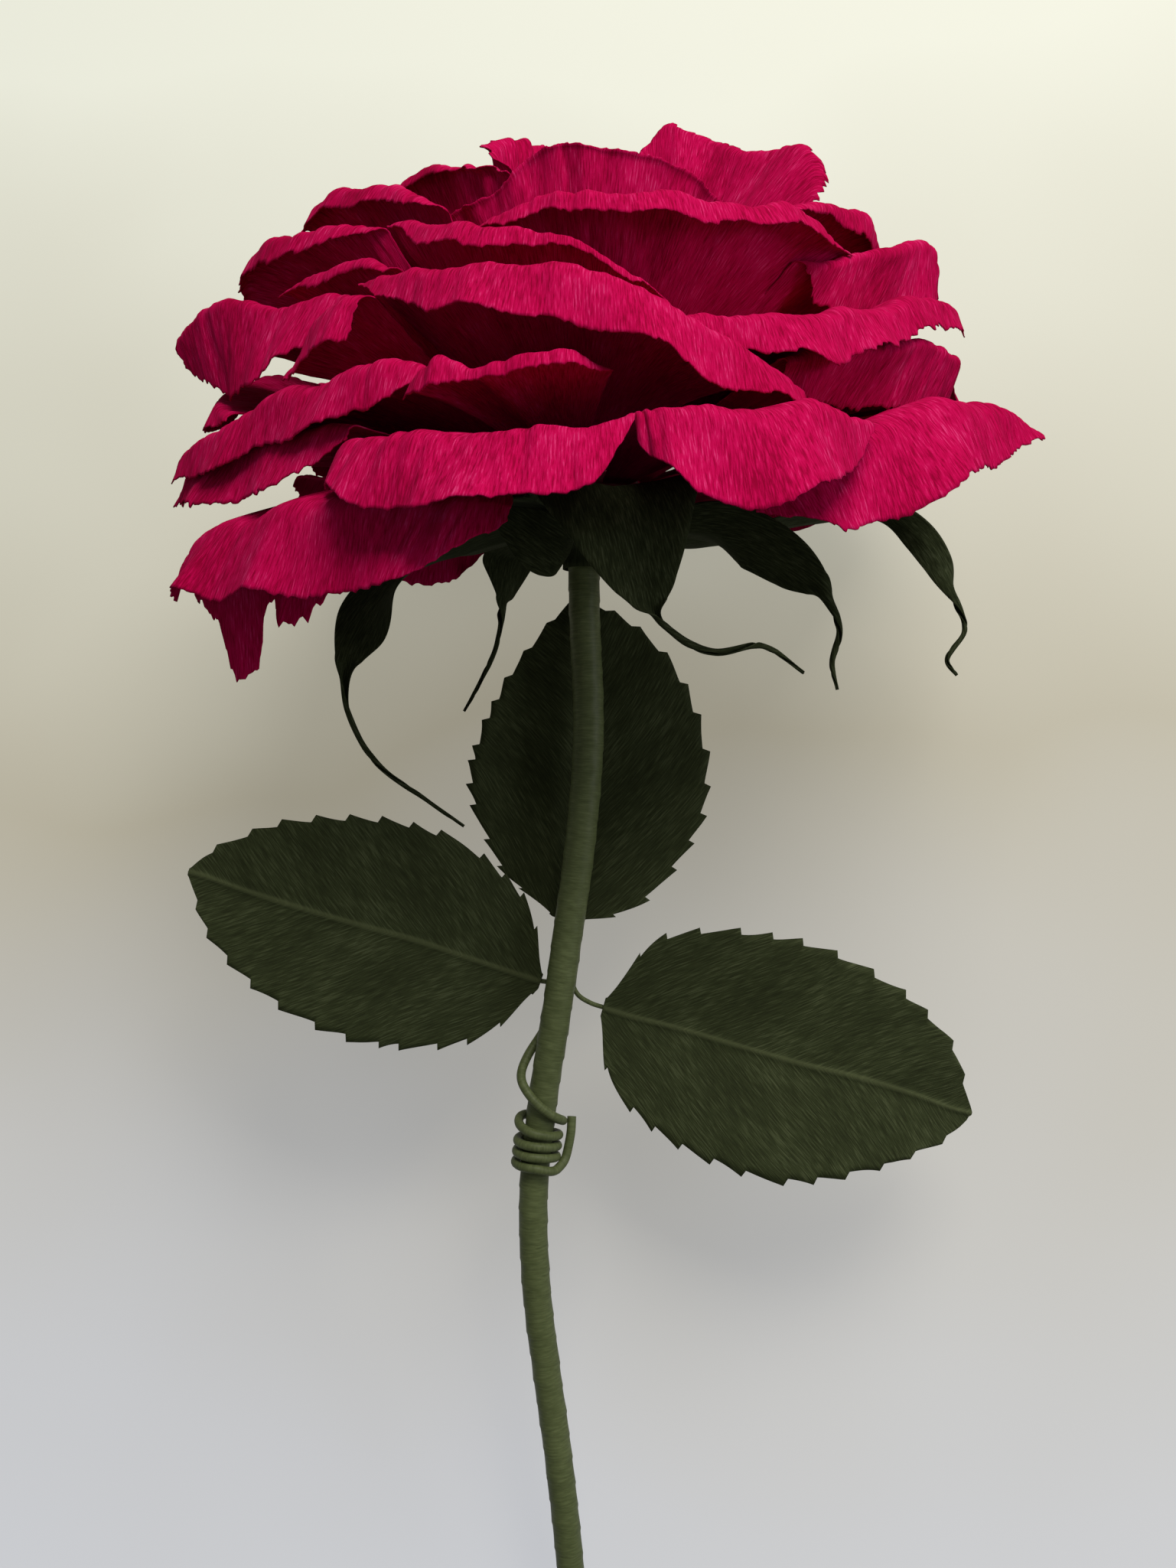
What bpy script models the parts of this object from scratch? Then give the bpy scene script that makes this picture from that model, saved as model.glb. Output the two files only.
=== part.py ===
"""A large crepe paper rose on a wrapped stem, lying on its back: petals, calyx, sepals, leaves and their wires.

Everything is shaped upright, with the stem's top at the origin, +Z up and the viewer towards -Y, and one empty
then lays it down.
"""

import math

import bmesh
import bpy
import numpy as np
from mathutils import Matrix

# Millimetres, as read off the photograph at the stem's own depth, and the eye that reads them.
MM = 0.001
EYE = np.array([1.8, -560.0, -89.4])

# How far the rose is turned about its stem and then back to lie down, in degrees.
LAY_ROLL, LAY_BACK = 7.1, -77.2

SHEET = 0.8  # thickness of paper
GAP = 0.3  # between pieces that are glued or wound on

# The petals are glued round a bulb: a ring and the distance of every petal's foot from it.
RING_RADIUS, RING_HEIGHT = 12.0, 27.0
FOOT = 15.0
BULB_FOOT = 13.0
CUP_BORE, CUP_FOOT, CUP_NECK, CUP_ANGLES = 7.2, 0.4, 9.0, (-100, -75, -45, -18)
BRIM_RADIUS, BRIM_DROP = 52.5, 5.7  # the brim of the calyx cup, and how far its edge lies below the ring
# How a petal that leaves its foot at some angle has turned by BEND_AT from the ring, in degrees.
BEND_AT, BEND_FLAT, BEND_PER_DEGREE = 150.0, -30.0, 0.6
# The slope a petal's foot leaves the bulb with, in degrees, for the lowest petal and for each place up the pile.
LAYER_FIRST, LAYER_STEP = 4.0, 4.2
FOOT_SHARE = 0.6  # a foot's turn round the bulb, as a share of its rim's
# Paper that hangs over a rim turns down to this slope, with a radius that is this share of what hangs.
ROLL_TO, ROLL_SHARE, ROLL_TIGHTEST, ROLL_WIDEST = -80.0, 0.3, 4.0, 12.0
RUFFLE, RUFFLE_EVERY = 0.35, 17.0  # degrees of slope, and degrees of turn for one wave
PETAL_ACROSS, HIDDEN_ACROSS, PETAL_ALONG, PETAL_OVER, HIDDEN_OVER = 8, 6, 3, 3, 2

STEM_TOP_RADIUS, STEM_FOOT_RADIUS = 6.6, 5.45
CORE_RADIUS = 4.2
CORE_TOP = 20.0
CORE_PROUD = 4.0
STEM_ROWS, STEM_SIDES, CORE_SIDES, BULB_SIDES = 18, 10, 8, 24
STEM_LINE = [  # right, height
    (0.0, 6.0), (0.4, -20.0), (2.0, -66.0), (-1.0, -110.0), (-6.5, -151.0), (-11.7, -187.0), (-16.2, -215.0),
    (-20.3, -250.0), (-21.1, -270.0), (-19.6, -302.0), (-15.6, -334.0), (-11.2, -366.0), (-7.4, -398.0),
    (-4.5, -430.0), (-3.0, -470.0), (-3.0, -520.0), (-4.0, -570.0),
]

# Petals the photo shows, each with its place in the pile, 0 lowest, and its rim from left to right: right, height,
# towards the viewer, and the paper that turns over the rim and hangs from it.
SEEN_PETALS = {
    "petal_torn_left": (0, [
        (-160, -2, 24, 10), (-153, -1, 32, 20), (-145, 0, 40, 38), (-137, 0, 46, 36), (-130, 1, 50, 14),
        (-121, 1, 54, 22), (-110, 0, 58, 14), (-102, 0, 60, 5)]),
    "petal_peek_left": (0, [(-92, 12, -26, 4), (-74, 12, -44, 18), (-54, 10, -58, 18), (-36, 13, -66, 4)]),
    "petal_low_left": (1, [
        (-167, 3, 26, 10), (-160, 13, 40, 26), (-140, 21, 60, 34), (-114, 29, 82, 38), (-97, 32, 91, 39),
        (-65, 30, 101, 34), (-30, 28, 98, 6)]),
    "petal_far_right": (1, [
        (66, 40, 88, 18), (95, 50, 78, 38), (119, 64, 64, 44), (146, 70, 46, 38), (160, 69, 34, 30),
        (174, 65, 24, 20), (188, 56, 16, 5)]),
    "petal_low_front": (2, [
        (-104, 42, 80, 8), (-97, 52, 92, 20), (-80, 57, 106, 32), (-52, 58, 118, 35), (-21, 58, 124, 32),
        (5, 61, 126, 25), (21, 66, 122, 4)]),
    "petal_front_right": (3, [
        (21, 66, 122, 4), (25, 67, 124, 18), (33, 68, 126, 30), (53, 68, 123, 42), (76, 69, 113, 42),
        (97, 69, 98, 32), (118, 62, 80, 6)]),
    "petal_under_left": (3, [
        (-165, 38, 6, 12), (-154, 45, 25, 22), (-132, 53, 48, 28), (-108, 59, 70, 26), (-94, 60, 80, 8)]),
    "petal_fold_front": (4, [
        (-72, 76, 94, 6), (-59, 88, 106, 15), (-46, 84, 109, 8), (-30, 89, 111, 9), (-6, 90, 109, 8),
        (12, 84, 98, 3)]),
    "petal_band_left": (5, [
        (-167, 48, 17, 8), (-148, 60, 40, 15), (-123, 74, 58, 20), (-97, 81, 76, 24), (-76, 87, 88, 18),
        (-62, 83, 94, 4)]),
    "petal_side_left": (6, [
        (-146, 66, 24, 5), (-151, 68, 12, 12), (-148, 74, -4, 18), (-136, 79, -18, 16), (-120, 80, -36, 6)]),
    "petal_low_right": (7, [
        (112, 82, 66, 5), (130, 89, 48, 16), (146, 92, 28, 24), (154, 89, 10, 20), (150, 81, -8, 8)]),
    "petal_curl_left": (7, [
        (-121, 84, 48, 6), (-110, 97, 56, 20), (-98, 108, 63, 28), (-89, 113, 68, 30), (-84, 112, 70, 26)]),
    "petal_tongue_left": (8, [
        (-165, 98, -6, 16), (-159, 107, 6, 30), (-150, 111, 16, 42), (-126, 110, 32, 34), (-100, 114, 46, 26),
        (-84, 110, 56, 10)]),
    "petal_band_front": (9, [
        (-90, 119, 54, 5), (-71, 123, 70, 12), (-48, 125, 82, 22), (-20, 125, 91, 28), (12, 120, 97, 28),
        (41, 106, 99, 27), (66, 92, 92, 22), (90, 76, 80, 8)]),
    "petal_band_right": (10, [
        (36, 105, 84, 5), (63, 107, 80, 18), (88, 107, 70, 28), (108, 109, 56, 22), (125, 110, 40, 18),
        (140, 115, 22, 16), (150, 112, 6, 14), (155, 103, -8, 8)]),
    "petal_shoulder_left": (10, [
        (-74, 126, 54, 5), (-90, 128, 44, 10), (-106, 124, 34, 10), (-122, 115, 18, 6)]),
    "petal_second_front": (11, [
        (-77, 144, 42, 5), (-60, 143, 56, 16), (-40, 141, 69, 18), (-9, 139, 79, 10), (12, 128, 82, 8),
        (34, 112, 82, 4)]),
    "petal_second_left": (12, [
        (-80, 142, 31, 6), (-98, 143, 28, 12), (-116, 140, 16, 14), (-130, 137, 2, 14), (-137, 127, -12, 10),
        (-137, 113, -26, 4)]),
    "petal_second_right": (12, [
        (108, 120, 34, 6), (121, 134, 12, 16), (134, 138, -4, 16), (144, 134, -14, 16), (145, 118, -28, 8)]),
    "petal_upper_front": (13, [
        (-46, 138, 54, 5), (-24, 151, 66, 14), (-7, 156, 70, 16), (12, 155, 72, 18), (33, 156, 70, 20),
        (60, 151, 62, 16), (85, 151, 46, 14), (97, 142, 34, 12), (107, 132, 22, 5)]),
    "petal_upper_left": (14, [
        (-56, 150, 42, 5), (-72, 159, 30, 12), (-90, 160, 14, 14), (-106, 154, -4, 14), (-114, 143, -20, 8)]),
    "petal_upper_right": (15, [
        (70, 150, 38, 5), (90, 154, 26, 8), (106, 153, 6, 14), (117, 145, -12, 14), (118, 132, -26, 8)]),
    "petal_top_front": (15, [
        (-57, 146, 22, 3), (-36, 158, 38, 3), (-20, 173, 44, 3), (-8, 178, 46, 3), (12, 175, 46, 3),
        (37, 169, 40, 3), (56, 152, 22, 3)]),
    "petal_top_left": (16, [
        (-28, 164, 34, 4), (-46, 169, 20, 8), (-62, 168, 4, 12), (-74, 160, -8, 12), (-78, 150, -22, 6)]),
    "petal_top_right": (16, [
        (23, 174, -24, 3), (33, 187, -26, 3), (44, 184, -26, 3), (56, 179, -22, 3), (67, 174, -16, 4),
        (79, 178, -8, 4), (90, 178, 2, 5), (96, 168, 8, 5), (95, 156, 12, 3)]),
    "petal_crown_left": (18, [
        (-30, 168, 18, 3), (-38, 176, 4, 5), (-31, 181, -12, 6), (-18, 180, -26, 5), (-4, 172, -36, 3)]),
}

# Petals the photo hides, each with its place in the pile and its rim: azimuth from the viewer's side, radius,
# height and hang.
HIDDEN_PETALS = {
    "petal_bud_inner": (21, [(-60, 8, 150, 0), (10, 8, 156, 0), (80, 8, 150, 0)]),
    "petal_bud_outer": (20, [(100, 14, 152, 0), (180, 14, 160, 0), (260, 14, 152, 0)]),
    "petal_bud_front": (19, [(-70, 22, 152, 2), (0, 23, 162, 3), (70, 22, 152, 2)]),
    "petal_bud_back": (19, [(100, 22, 156, 2), (142, 24, 168, 3), (182, 22, 156, 2)]),
    "petal_top_back": (15, [(134, 48, 156, 3), (158, 54, 168, 6), (188, 54, 170, 6), (216, 48, 156, 3)]),
    "petal_upper_back_right": (14, [(96, 78, 138, 5), (120, 86, 154, 12), (150, 86, 156, 12), (176, 72, 146, 3)]),
    "petal_upper_back_left": (13, [(164, 80, 116, 5), (190, 84, 150, 12), (216, 86, 154, 12), (240, 78, 140, 5)]),
    "petal_second_back_right": (13, [
        (105, 102, 126, 4), (122, 114, 143, 14), (144, 118, 142, 16), (170, 106, 122, 6)]),
    "petal_second_back_left": (12, [
        (158, 106, 104, 6), (184, 118, 129, 16), (212, 120, 130, 16), (236, 108, 116, 6)]),
    "petal_band_back_right": (9, [
        (82, 134, 90, 5), (95, 148, 97, 13), (108, 160, 103, 30), (128, 158, 108, 28), (150, 148, 110, 22),
        (174, 134, 96, 8)]),
    "petal_band_back_left": (8, [(166, 132, 80, 8), (196, 144, 98, 22), (224, 146, 102, 22), (252, 132, 92, 8)]),
    "petal_low_back_right": (6, [(80, 134, 60, 6), (106, 148, 78, 24), (140, 160, 80, 24), (164, 136, 64, 8)]),
    "petal_low_back_left": (5, [(160, 132, 53, 8), (188, 142, 76, 22), (220, 160, 80, 24), (246, 136, 68, 8)]),
    "petal_hang_back_right": (2, [(84, 128, 46, 8), (116, 144, 60, 26), (146, 142, 56, 24), (170, 122, 36, 8)]),
    "petal_hang_back_left": (1, [(176, 118, 32, 8), (200, 136, 54, 26), (228, 138, 58, 26), (258, 126, 46, 8)]),
    "petal_last_back": (0, [(116, 80, 28, 4), (132, 94, 36, 12), (150, 94, 36, 12), (166, 80, 26, 4)]),
}

# Leaves and sepals, root to tip: right, height, towards the viewer, half-width, twist in degrees. A sepal's first row
# is its root on the cup: azimuth, angle round the ring, distance off the cup, half-width, twist.
LEAVES = {
    "leaf_top": [(-9, -146, -11, 4, 0), (-6, -136, -12, 26, 0), (-2, -118, -14, 41, 0), (1, -98, -16, 50, 0),
                 (3, -78, -16, 50, 0), (3, -56, -15, 43, 0), (1, -36, -13, 31, 0), (-2, -20, -11, 14, 0),
                 (-4, -12, -10, 1, 0)],
    "leaf_left": [(-18, -172, -10, 3, 0), (-30, -168, -9, 26, 0), (-48, -162, -6, 39, 0), (-72, -154, -2, 46, 0),
                  (-98, -147, 2, 45, 0), (-122, -140, 5, 38, 0), (-144, -133, 6, 26, 0), (-158, -128, 6, 12, 0),
                  (-165, -126, 6, 1, 0)],
    "leaf_right": [(8, -183, -8, 4, 0), (18, -186, -7, 28, 0), (38, -191, -4, 42, 0), (62, -198, 0, 48, 0),
                   (90, -206, 3, 49, 0), (115, -212, 4, 42, 0), (138, -219, 3, 30, 0), (154, -225, 1, 14, 0),
                   (162, -227, 0, 1, 0)],
}
LEAF_TEETH, TOOTH_DEPTH, LEAF_FOLD, SEPAL_FOLD = 13, 2.2, -6.0, 8.0
SEPALS = {
    "sepal_a": [(-75, -50, 0.6, 12, 0), (-46, 8, 6, 20, 0), (-76, -3, 4, 19, 10), (-91, -22, 0, 14, 15),
                (-99, -40, -2, 4, 50), (-100, -54, -2, 2.6, 70), (-94, -70, -4, 2.4, 120), (-83, -84, -6, 2, 180),
                (-66, -96, -6, 1.6, 250), (-50, -107, -6, 1, 300)],
    "sepal_b": [(-144, -40, 0.3, 10, 0), (-24, 8, -40, 14, 0), (-30, 2, -62, 14, 10), (-33, -14, -66, 5, 40),
                (-35, -24, -66, 2.2, 90), (-38, -36, -64, 2, 150), (-44, -48, -62, 1.6, 210), (-50, -59, -60, 1, 260)],
    "sepal_c": [(21, -41, 1.2, 6, 0), (9, 25, 54, 27, 0), (13, 35, 80, 32, 0), (20, 17, 92, 22, 0), (26, -6, 92, 11, 0),
                (30, -19, 90, 3, 20), (40, -28, 88, 2.6, 90), (54, -34, 84, 2.4, 160), (76, -32, 78, 2, 240),
                (92, -43, 74, 1, 320)],
    "sepal_d": [(75, -50, 0.7, 10, 0), (42, 16, 16, 14, 0), (64, 14, 36, 15, 10), (86, 2, 42, 12, 30),
                (101, -10, 44, 4, 60), (107, -24, 44, 2.4, 110), (104, -38, 44, 2, 170), (106, -50, 44, 1, 230)],
    "sepal_e": [(132, -45, 1.6, 5, 0), (56, 12, -24, 14, 0), (98, 21, -34, 12, 0), (126, 24, -38, 7, 20),
                (140, 14, -38, 7.5, 40), (150, 0, -38, 6, 70), (158, -18, -38, 2.6, 110), (159, -26, -38, 2.2, 170),
                (152, -38, -38, 2, 230), (156, -44, -38, 1, 280)],
}
CALYX_FLAP = [(-22, -85, 2.7, 5, 0), (-7, 6, 20, 9, 0), (-11, 8, 28, 12, 0), (-19, 13, 34, 12, 0), (-30, 20, 36, 7, 0),
              (-39, 26, 38, 1, 0)]

# The leaves' wires, and the stalk they join, which winds round the stem.
WIRE_RADIUS, WIRE_TIP, STALK_RADIUS = 1.1, 0.6, 1.9
WIRE_ROOTS = {  # right, away from the viewer, height
    "top": [(-9.8, 12.2, -176), (-9.8, 12.2, -166), (-9.4, 12.6, -156)],
    "left": [(-13.9, 9.3, -181), (-14.0, 9.5, -177), (-15.4, 10.9, -174)],
    "right": [(-5.2, 9.4, -168), (-4.9, 9.2, -174), (-2.4, 9.0, -179), (3.0, 9.2, -182.5)],
}
WIRE_ROWS, WIRE_RINGS, WIRE_SIDES = 7, 13, 5
STALK_RINGS, STALK_SIDES = 60, 6
STALK_AROUND = [  # degrees from behind, turning by the left; height; distance from the stem's surface
    (-6, -166, 2.6), (0, -182, 2.4), (30, -194, 2.4), (70, -204, 3.6), (110, -212, 4.6), (150, -219, 3.0),
    (200, -225, 2.4), (250, -229, 3.2), (300, -231, 3.4), (360, -230, 2.6), (420, -229, 3.0), (480, -231.5, 2.6),
    (540, -234, 2.4), (630, -236, 2.4), (720, -237, 2.4), (810, -238, 2.4), (900, -239, 2.4), (990, -240.5, 2.4),
    (1080, -241.5, 2.4), (1170, -242.5, 2.4), (1260, -243.5, 2.4), (1350, -245, 2.4), (1440, -246, 2.4),
    (1530, -247, 2.4), (1620, -248, 2.6), (1690, -249, 4.2), (1712, -244, 6.6), (1716, -236, 7.4), (1722, -229, 7.2),
]


def curve(rows, at):
    """Points of a smooth curve through the rows, at shares 0 to 1 of the way along them."""
    rows = np.asarray(rows, float)
    steps = np.linalg.norm(np.diff(rows[:, :3], axis=0), axis=1)
    knots = np.concatenate([[0.0], np.cumsum(np.sqrt(steps))])
    knots /= knots[-1]
    slopes = np.gradient(rows, knots, axis=0)
    index = np.clip(np.searchsorted(knots, at, side="right") - 1, 0, len(knots) - 2)
    width = (knots[index + 1] - knots[index])[:, None]
    t = (np.asarray(at) - knots[index])[:, None] / width
    return (
        (2 * t**3 - 3 * t**2 + 1) * rows[index]
        + (t**3 - 2 * t**2 + t) * width * slopes[index]
        + (3 * t**2 - 2 * t**3) * rows[index + 1]
        + (t**3 - t**2) * width * slopes[index + 1]
    )


def seen(right, height, near):
    """A point of the photo moved towards the eye, so that it still looks to be where it was."""
    share = (-EYE[1] - near) / -EYE[1]
    return np.array([EYE[0] + (right - EYE[0]) * share, -near, EYE[2] + (height - EYE[2]) * share])


def rim_of(points):
    """A seen rim as azimuth, radius, height and hang."""
    rim = []
    for right, height, near, hang in points:
        x, y, z = seen(right, height, near)
        rim.append((math.degrees(math.atan2(x, -y)), math.hypot(x, y), z, hang))
    return rim


def petal(layer, rim, across, along, over):
    """Points of one petal, [across][foot to free edge]: a fan of arcs up to the rim, and the paper that hangs."""
    rim = curve([(a * 1.2, r, z, h) for a, r, z, h in rim], np.linspace(0, 1, across + 1))
    azimuth, radius, height, hang = rim[:, 0] / 1.2, rim[:, 1], rim[:, 2], np.maximum(rim[:, 3], 0.6)
    ruffle = RUFFLE * np.sin(azimuth / RUFFLE_EVERY * 2 * math.pi + 2.4 * layer)
    bend = np.clip(hang * ROLL_SHARE, ROLL_TIGHTEST, ROLL_WIDEST)
    crest = 0.0
    for _ in range(3):
        out, up = radius - RING_RADIUS, height - crest - RING_HEIGHT
        reach, lift = np.hypot(out, up), np.degrees(np.arctan2(up, out))
        share = (reach - FOOT) / BEND_AT
        level = (lift - BEND_FLAT * share) / (1 + BEND_PER_DEGREE * share)
        turning = (BEND_FLAT + BEND_PER_DEGREE * level) / BEND_AT
        way = np.radians(lift) + np.arctan(reach * np.radians(turning))
        up_first = np.minimum(np.maximum(way, 0), hang / bend)
        crest = bend * (np.cos(way - up_first) - np.cos(way))
    foot_level = LAYER_FIRST + LAYER_STEP * layer
    middle = (azimuth[0] + azimuth[-1]) / 2
    grid = np.zeros((across + 1, along + over + 1, 3))

    def profile(distance, share):
        lean = foot_level + (level - foot_level) * share**0.8 + ruffle * share**3
        far = (distance - FOOT) / BEND_AT
        angle = np.radians(lean * (1 + BEND_PER_DEGREE * far) + BEND_FLAT * far)
        return RING_RADIUS + distance * np.cos(angle), RING_HEIGHT + distance * np.sin(angle)

    for j in range(along + 1):
        share = (j / along) ** 0.85
        r, z = profile(FOOT + (reach - FOOT) * share, share)
        turn = np.radians(middle + (azimuth - middle) * (FOOT_SHARE + (1 - FOOT_SHARE) * share**0.7))
        grid[:, j] = np.stack([r * np.sin(turn), -r * np.cos(turn), z], 1)
    before = profile(FOOT + (reach - FOOT) * 0.97, 0.97)
    way = np.arctan2(z - before[1], r - before[0])
    for j in range(1, over + 1):
        length = hang * j / over
        turned = np.minimum(length / bend, way - math.radians(ROLL_TO))
        straight = length - turned * bend
        out = bend * (np.sin(way) - np.sin(way - turned)) + straight * np.cos(way - turned)
        up = bend * (np.cos(way - turned) - np.cos(way)) + straight * np.sin(way - turned)
        grid[:, along + j] = np.stack([(r + out) * np.sin(turn), -(r + out) * np.cos(turn), z + up], 1)
    return grid


def round_ring(distance, angle):
    """Radius and height of a point at a distance from the ring."""
    turn = math.radians(angle)
    return RING_RADIUS + distance * math.cos(turn), RING_HEIGHT + distance * math.sin(turn)


def placed(rows):
    """Rows of the leaves' table with their seen places made real."""
    return [(*seen(*row[:3]), *row[3:]) for row in rows]


def rooted(rows):
    """Rows of the sepals' table with their places made real, and the root just off the cup."""
    azimuth, angle, off, *rest = rows[0]
    radius, height = round_ring(FOOT + 2.1 * SHEET + off, angle)
    turn = math.radians(azimuth)
    return [(radius * math.sin(turn), -radius * math.cos(turn), height, *rest), *placed(rows[1:])]


def unit(vectors):
    return vectors / np.linalg.norm(vectors, axis=-1, keepdims=True)


def ribbon(rows, side, across, along, fold=0.0, teeth=0, depth=0.0):
    """Points of a strip that follows the rows: place, half-width, and twist about its own length."""
    at = np.linspace(0, 1, along + 1)
    rows = curve(rows, at)
    spine, half, twist = rows[:, :3], np.maximum(rows[:, 3], 0.5), np.radians(rows[:, 4])
    way = unit(np.gradient(spine, axis=0))
    flat = unit(side - (way @ side)[:, None] * way)
    up = np.cross(flat, way)
    flat, up = (
        flat * np.cos(twist)[:, None] + up * np.sin(twist)[:, None],
        up * np.cos(twist)[:, None] - flat * np.sin(twist)[:, None],
    )
    if teeth:
        half = np.maximum(half + depth * (((at * teeth) % 1.0) - 0.5) * np.minimum(1, half / 12), 0.5)
    grid = np.zeros((across + 1, along + 1, 3))
    for i, share in enumerate(np.linspace(-1, 1, across + 1)):
        reach = (half * share)[:, None]
        grid[i] = spine + reach * flat + abs(reach) * math.tan(math.radians(fold)) * up
    return grid


for old in list(bpy.data.objects):
    bpy.data.objects.remove(old)
laid = bpy.data.objects.new("laid", None)
bpy.context.scene.collection.objects.link(laid)


def surface(name, colour, roughness=0.9):
    material = bpy.data.materials.new(name)
    material.use_nodes = True
    shader = material.node_tree.nodes["Principled BSDF"]
    shader.inputs["Base Color"].default_value = (*colour, 1)
    shader.inputs["Roughness"].default_value = roughness
    return material


RED = surface("red crepe", (0.42, 0.002, 0.045))
GREEN = surface("green crepe", (0.012, 0.018, 0.008))
WRAP = surface("green wrap", (0.06, 0.08, 0.035))
FOAM = surface("foam", (0.5, 0.5, 0.45))
METAL = surface("aluminium", (0.5, 0.5, 0.5), 0.4)


def piece(name, points, faces, material):
    """One node from points in millimetres. Its faces are turned outward."""
    mesh = bpy.data.meshes.new(name)
    mesh.from_pydata([tuple(p) for p in np.asarray(points) * MM], [], [tuple(map(int, f)) for f in faces])
    work = bmesh.new()
    work.from_mesh(mesh)
    if work.calc_volume(signed=True) < 0:
        bmesh.ops.reverse_faces(work, faces=work.faces)
    work.to_mesh(mesh)
    work.free()
    mesh.materials.append(material)
    node = bpy.data.objects.new(name, mesh)
    node.parent = laid
    bpy.context.scene.collection.objects.link(node)
    return node


def sheet(name, grid, material, thick=SHEET):
    """A grid of points as paper of even thickness, closed all round."""
    across = np.gradient(grid, axis=0)
    along = np.gradient(grid, axis=1)
    normal = unit(np.cross(across, along))
    rows, columns = grid.shape[:2]
    front = (grid + normal * thick / 2).reshape(-1, 3)
    back = (grid - normal * thick / 2).reshape(-1, 3)
    index = np.arange(rows * columns).reshape(rows, columns)
    under = index + rows * columns
    faces = []
    for i in range(rows - 1):
        for j in range(columns - 1):
            faces.append((index[i, j], index[i + 1, j], index[i + 1, j + 1], index[i, j + 1]))
            faces.append((under[i, j], under[i, j + 1], under[i + 1, j + 1], under[i + 1, j]))
    edge = [*index[0, :-1], *index[:-1, -1], *index[-1, :0:-1], *index[:0:-1, 0]]
    for a, b in zip(edge, edge[1:] + edge[:1]):
        faces.append((a, b, b + rows * columns, a + rows * columns))
    return piece(name, np.concatenate([front, back]), faces, material)


def tube(name, path, radii, sides, material, bore=None):
    """A round bar along a path or, with a bore, a pipe."""
    path = np.asarray(path, float)
    way = unit(np.gradient(path, axis=0))
    flat = np.cross(way[0], (0.3, 1.0, 0.1))
    rings = []
    for at, forward in zip(path, way):
        flat = unit(flat - (flat @ forward) * forward)
        rings.append((at, flat, np.cross(forward, flat)))
    turns = np.arange(sides) * 2 * math.pi / sides

    def ring(k, shift=0):
        return [shift + k * sides + s for s in range(sides)]

    def shell(sizes):
        return [
            at + size * (math.cos(t) * a + math.sin(t) * b)
            for (at, a, b), size in zip(rings, sizes)
            for t in turns
        ]

    points = shell(radii)
    count = len(path)
    faces = []
    for k in range(count - 1):
        lower, upper = ring(k), ring(k + 1)
        for s in range(sides):
            faces.append((lower[s], lower[s - 1], upper[s - 1], upper[s]))
    if bore is None:
        faces += [ring(0), ring(count - 1)[::-1]]
        return piece(name, points, faces, material)
    shift = len(points)
    points += shell(bore)
    for k in range(count - 1):
        lower, upper = ring(k, shift), ring(k + 1, shift)
        for s in range(sides):
            faces.append((lower[s], upper[s], upper[s - 1], lower[s - 1]))
    for k in (0, count - 1):
        outer, inner = ring(k), ring(k, shift)
        for s in range(sides):
            face = (outer[s], inner[s], inner[s - 1], outer[s - 1])
            faces.append(face if k == 0 else face[::-1])
    return piece(name, points, faces, material)


def turned(name, profile, sides, material):
    """A closed profile of radius and height, turned about the stem's axis. Radius 0 makes a pole."""
    points, rings = [], []
    for radius, height in profile:
        if radius == 0:
            rings.append([len(points)] * sides)
            points.append((0, 0, height))
            continue
        rings.append([len(points) + s for s in range(sides)])
        for s in range(sides):
            turn = 2 * math.pi * s / sides
            points.append((radius * math.cos(turn), radius * math.sin(turn), height))
    faces = []
    for first, second in zip(rings, rings[1:] + rings[:1]):
        for s in range(sides):
            face = list(dict.fromkeys((first[s], first[s - 1], second[s - 1], second[s])))
            if len(face) > 2:
                faces.append(face)
    return piece(name, points, faces, material)


# The stem: a rod that runs up into the bulb, in a wrap of paper strip that leaves its last bit bare.
line = curve([(x, 0, z) for x, z in STEM_LINE], np.linspace(0, 1, STEM_ROWS))
outer = np.linspace(STEM_TOP_RADIUS, STEM_FOOT_RADIUS, STEM_ROWS)
tube("stem_wrap", line, outer, STEM_SIDES, WRAP, bore=np.full(STEM_ROWS, CORE_RADIUS + GAP))
rod = np.concatenate([[(0, 0, CORE_TOP)], line, [line[-1] + unit(line[-1] - line[-2]) * CORE_PROUD]])
tube("stem_core", rod, np.full(len(rod), CORE_RADIUS), CORE_SIDES, METAL)

# The bulb has a socket for the rod, and the calyx cup closes round its underside.
socket = CORE_RADIUS + GAP
inside = FOOT - SHEET / 2 - GAP / 2
turned("flower_core", [(0, CORE_TOP + GAP), (socket, CORE_TOP + GAP), (socket, BULB_FOOT),
                       *[round_ring(inside, a) for a in (-95, -60, -28, 0, 22, 45, 68, 90)], (0, RING_HEIGHT + inside)],
       BULB_SIDES, FOAM)
turned("calyx_cup", [(CUP_BORE, CUP_FOOT), (CUP_BORE, CUP_NECK), *[round_ring(FOOT, a) for a in CUP_ANGLES],
                     (BRIM_RADIUS, RING_HEIGHT - BRIM_DROP), (BRIM_RADIUS, RING_HEIGHT - BRIM_DROP - SHEET),
                     *[round_ring(FOOT + 1.6 * SHEET, a) for a in CUP_ANGLES[:0:-1]],
                     (CUP_BORE + 1.5 * SHEET, CUP_NECK - 1), (CUP_BORE + SHEET, CUP_FOOT)], BULB_SIDES, GREEN)

for name, (layer, points) in SEEN_PETALS.items():
    sheet(name, petal(layer, rim_of(points), PETAL_ACROSS, PETAL_ALONG, PETAL_OVER), RED)
for name, (layer, points) in HIDDEN_PETALS.items():
    sheet(name, petal(layer, points, HIDDEN_ACROSS, PETAL_ALONG, HIDDEN_OVER), RED)

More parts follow.
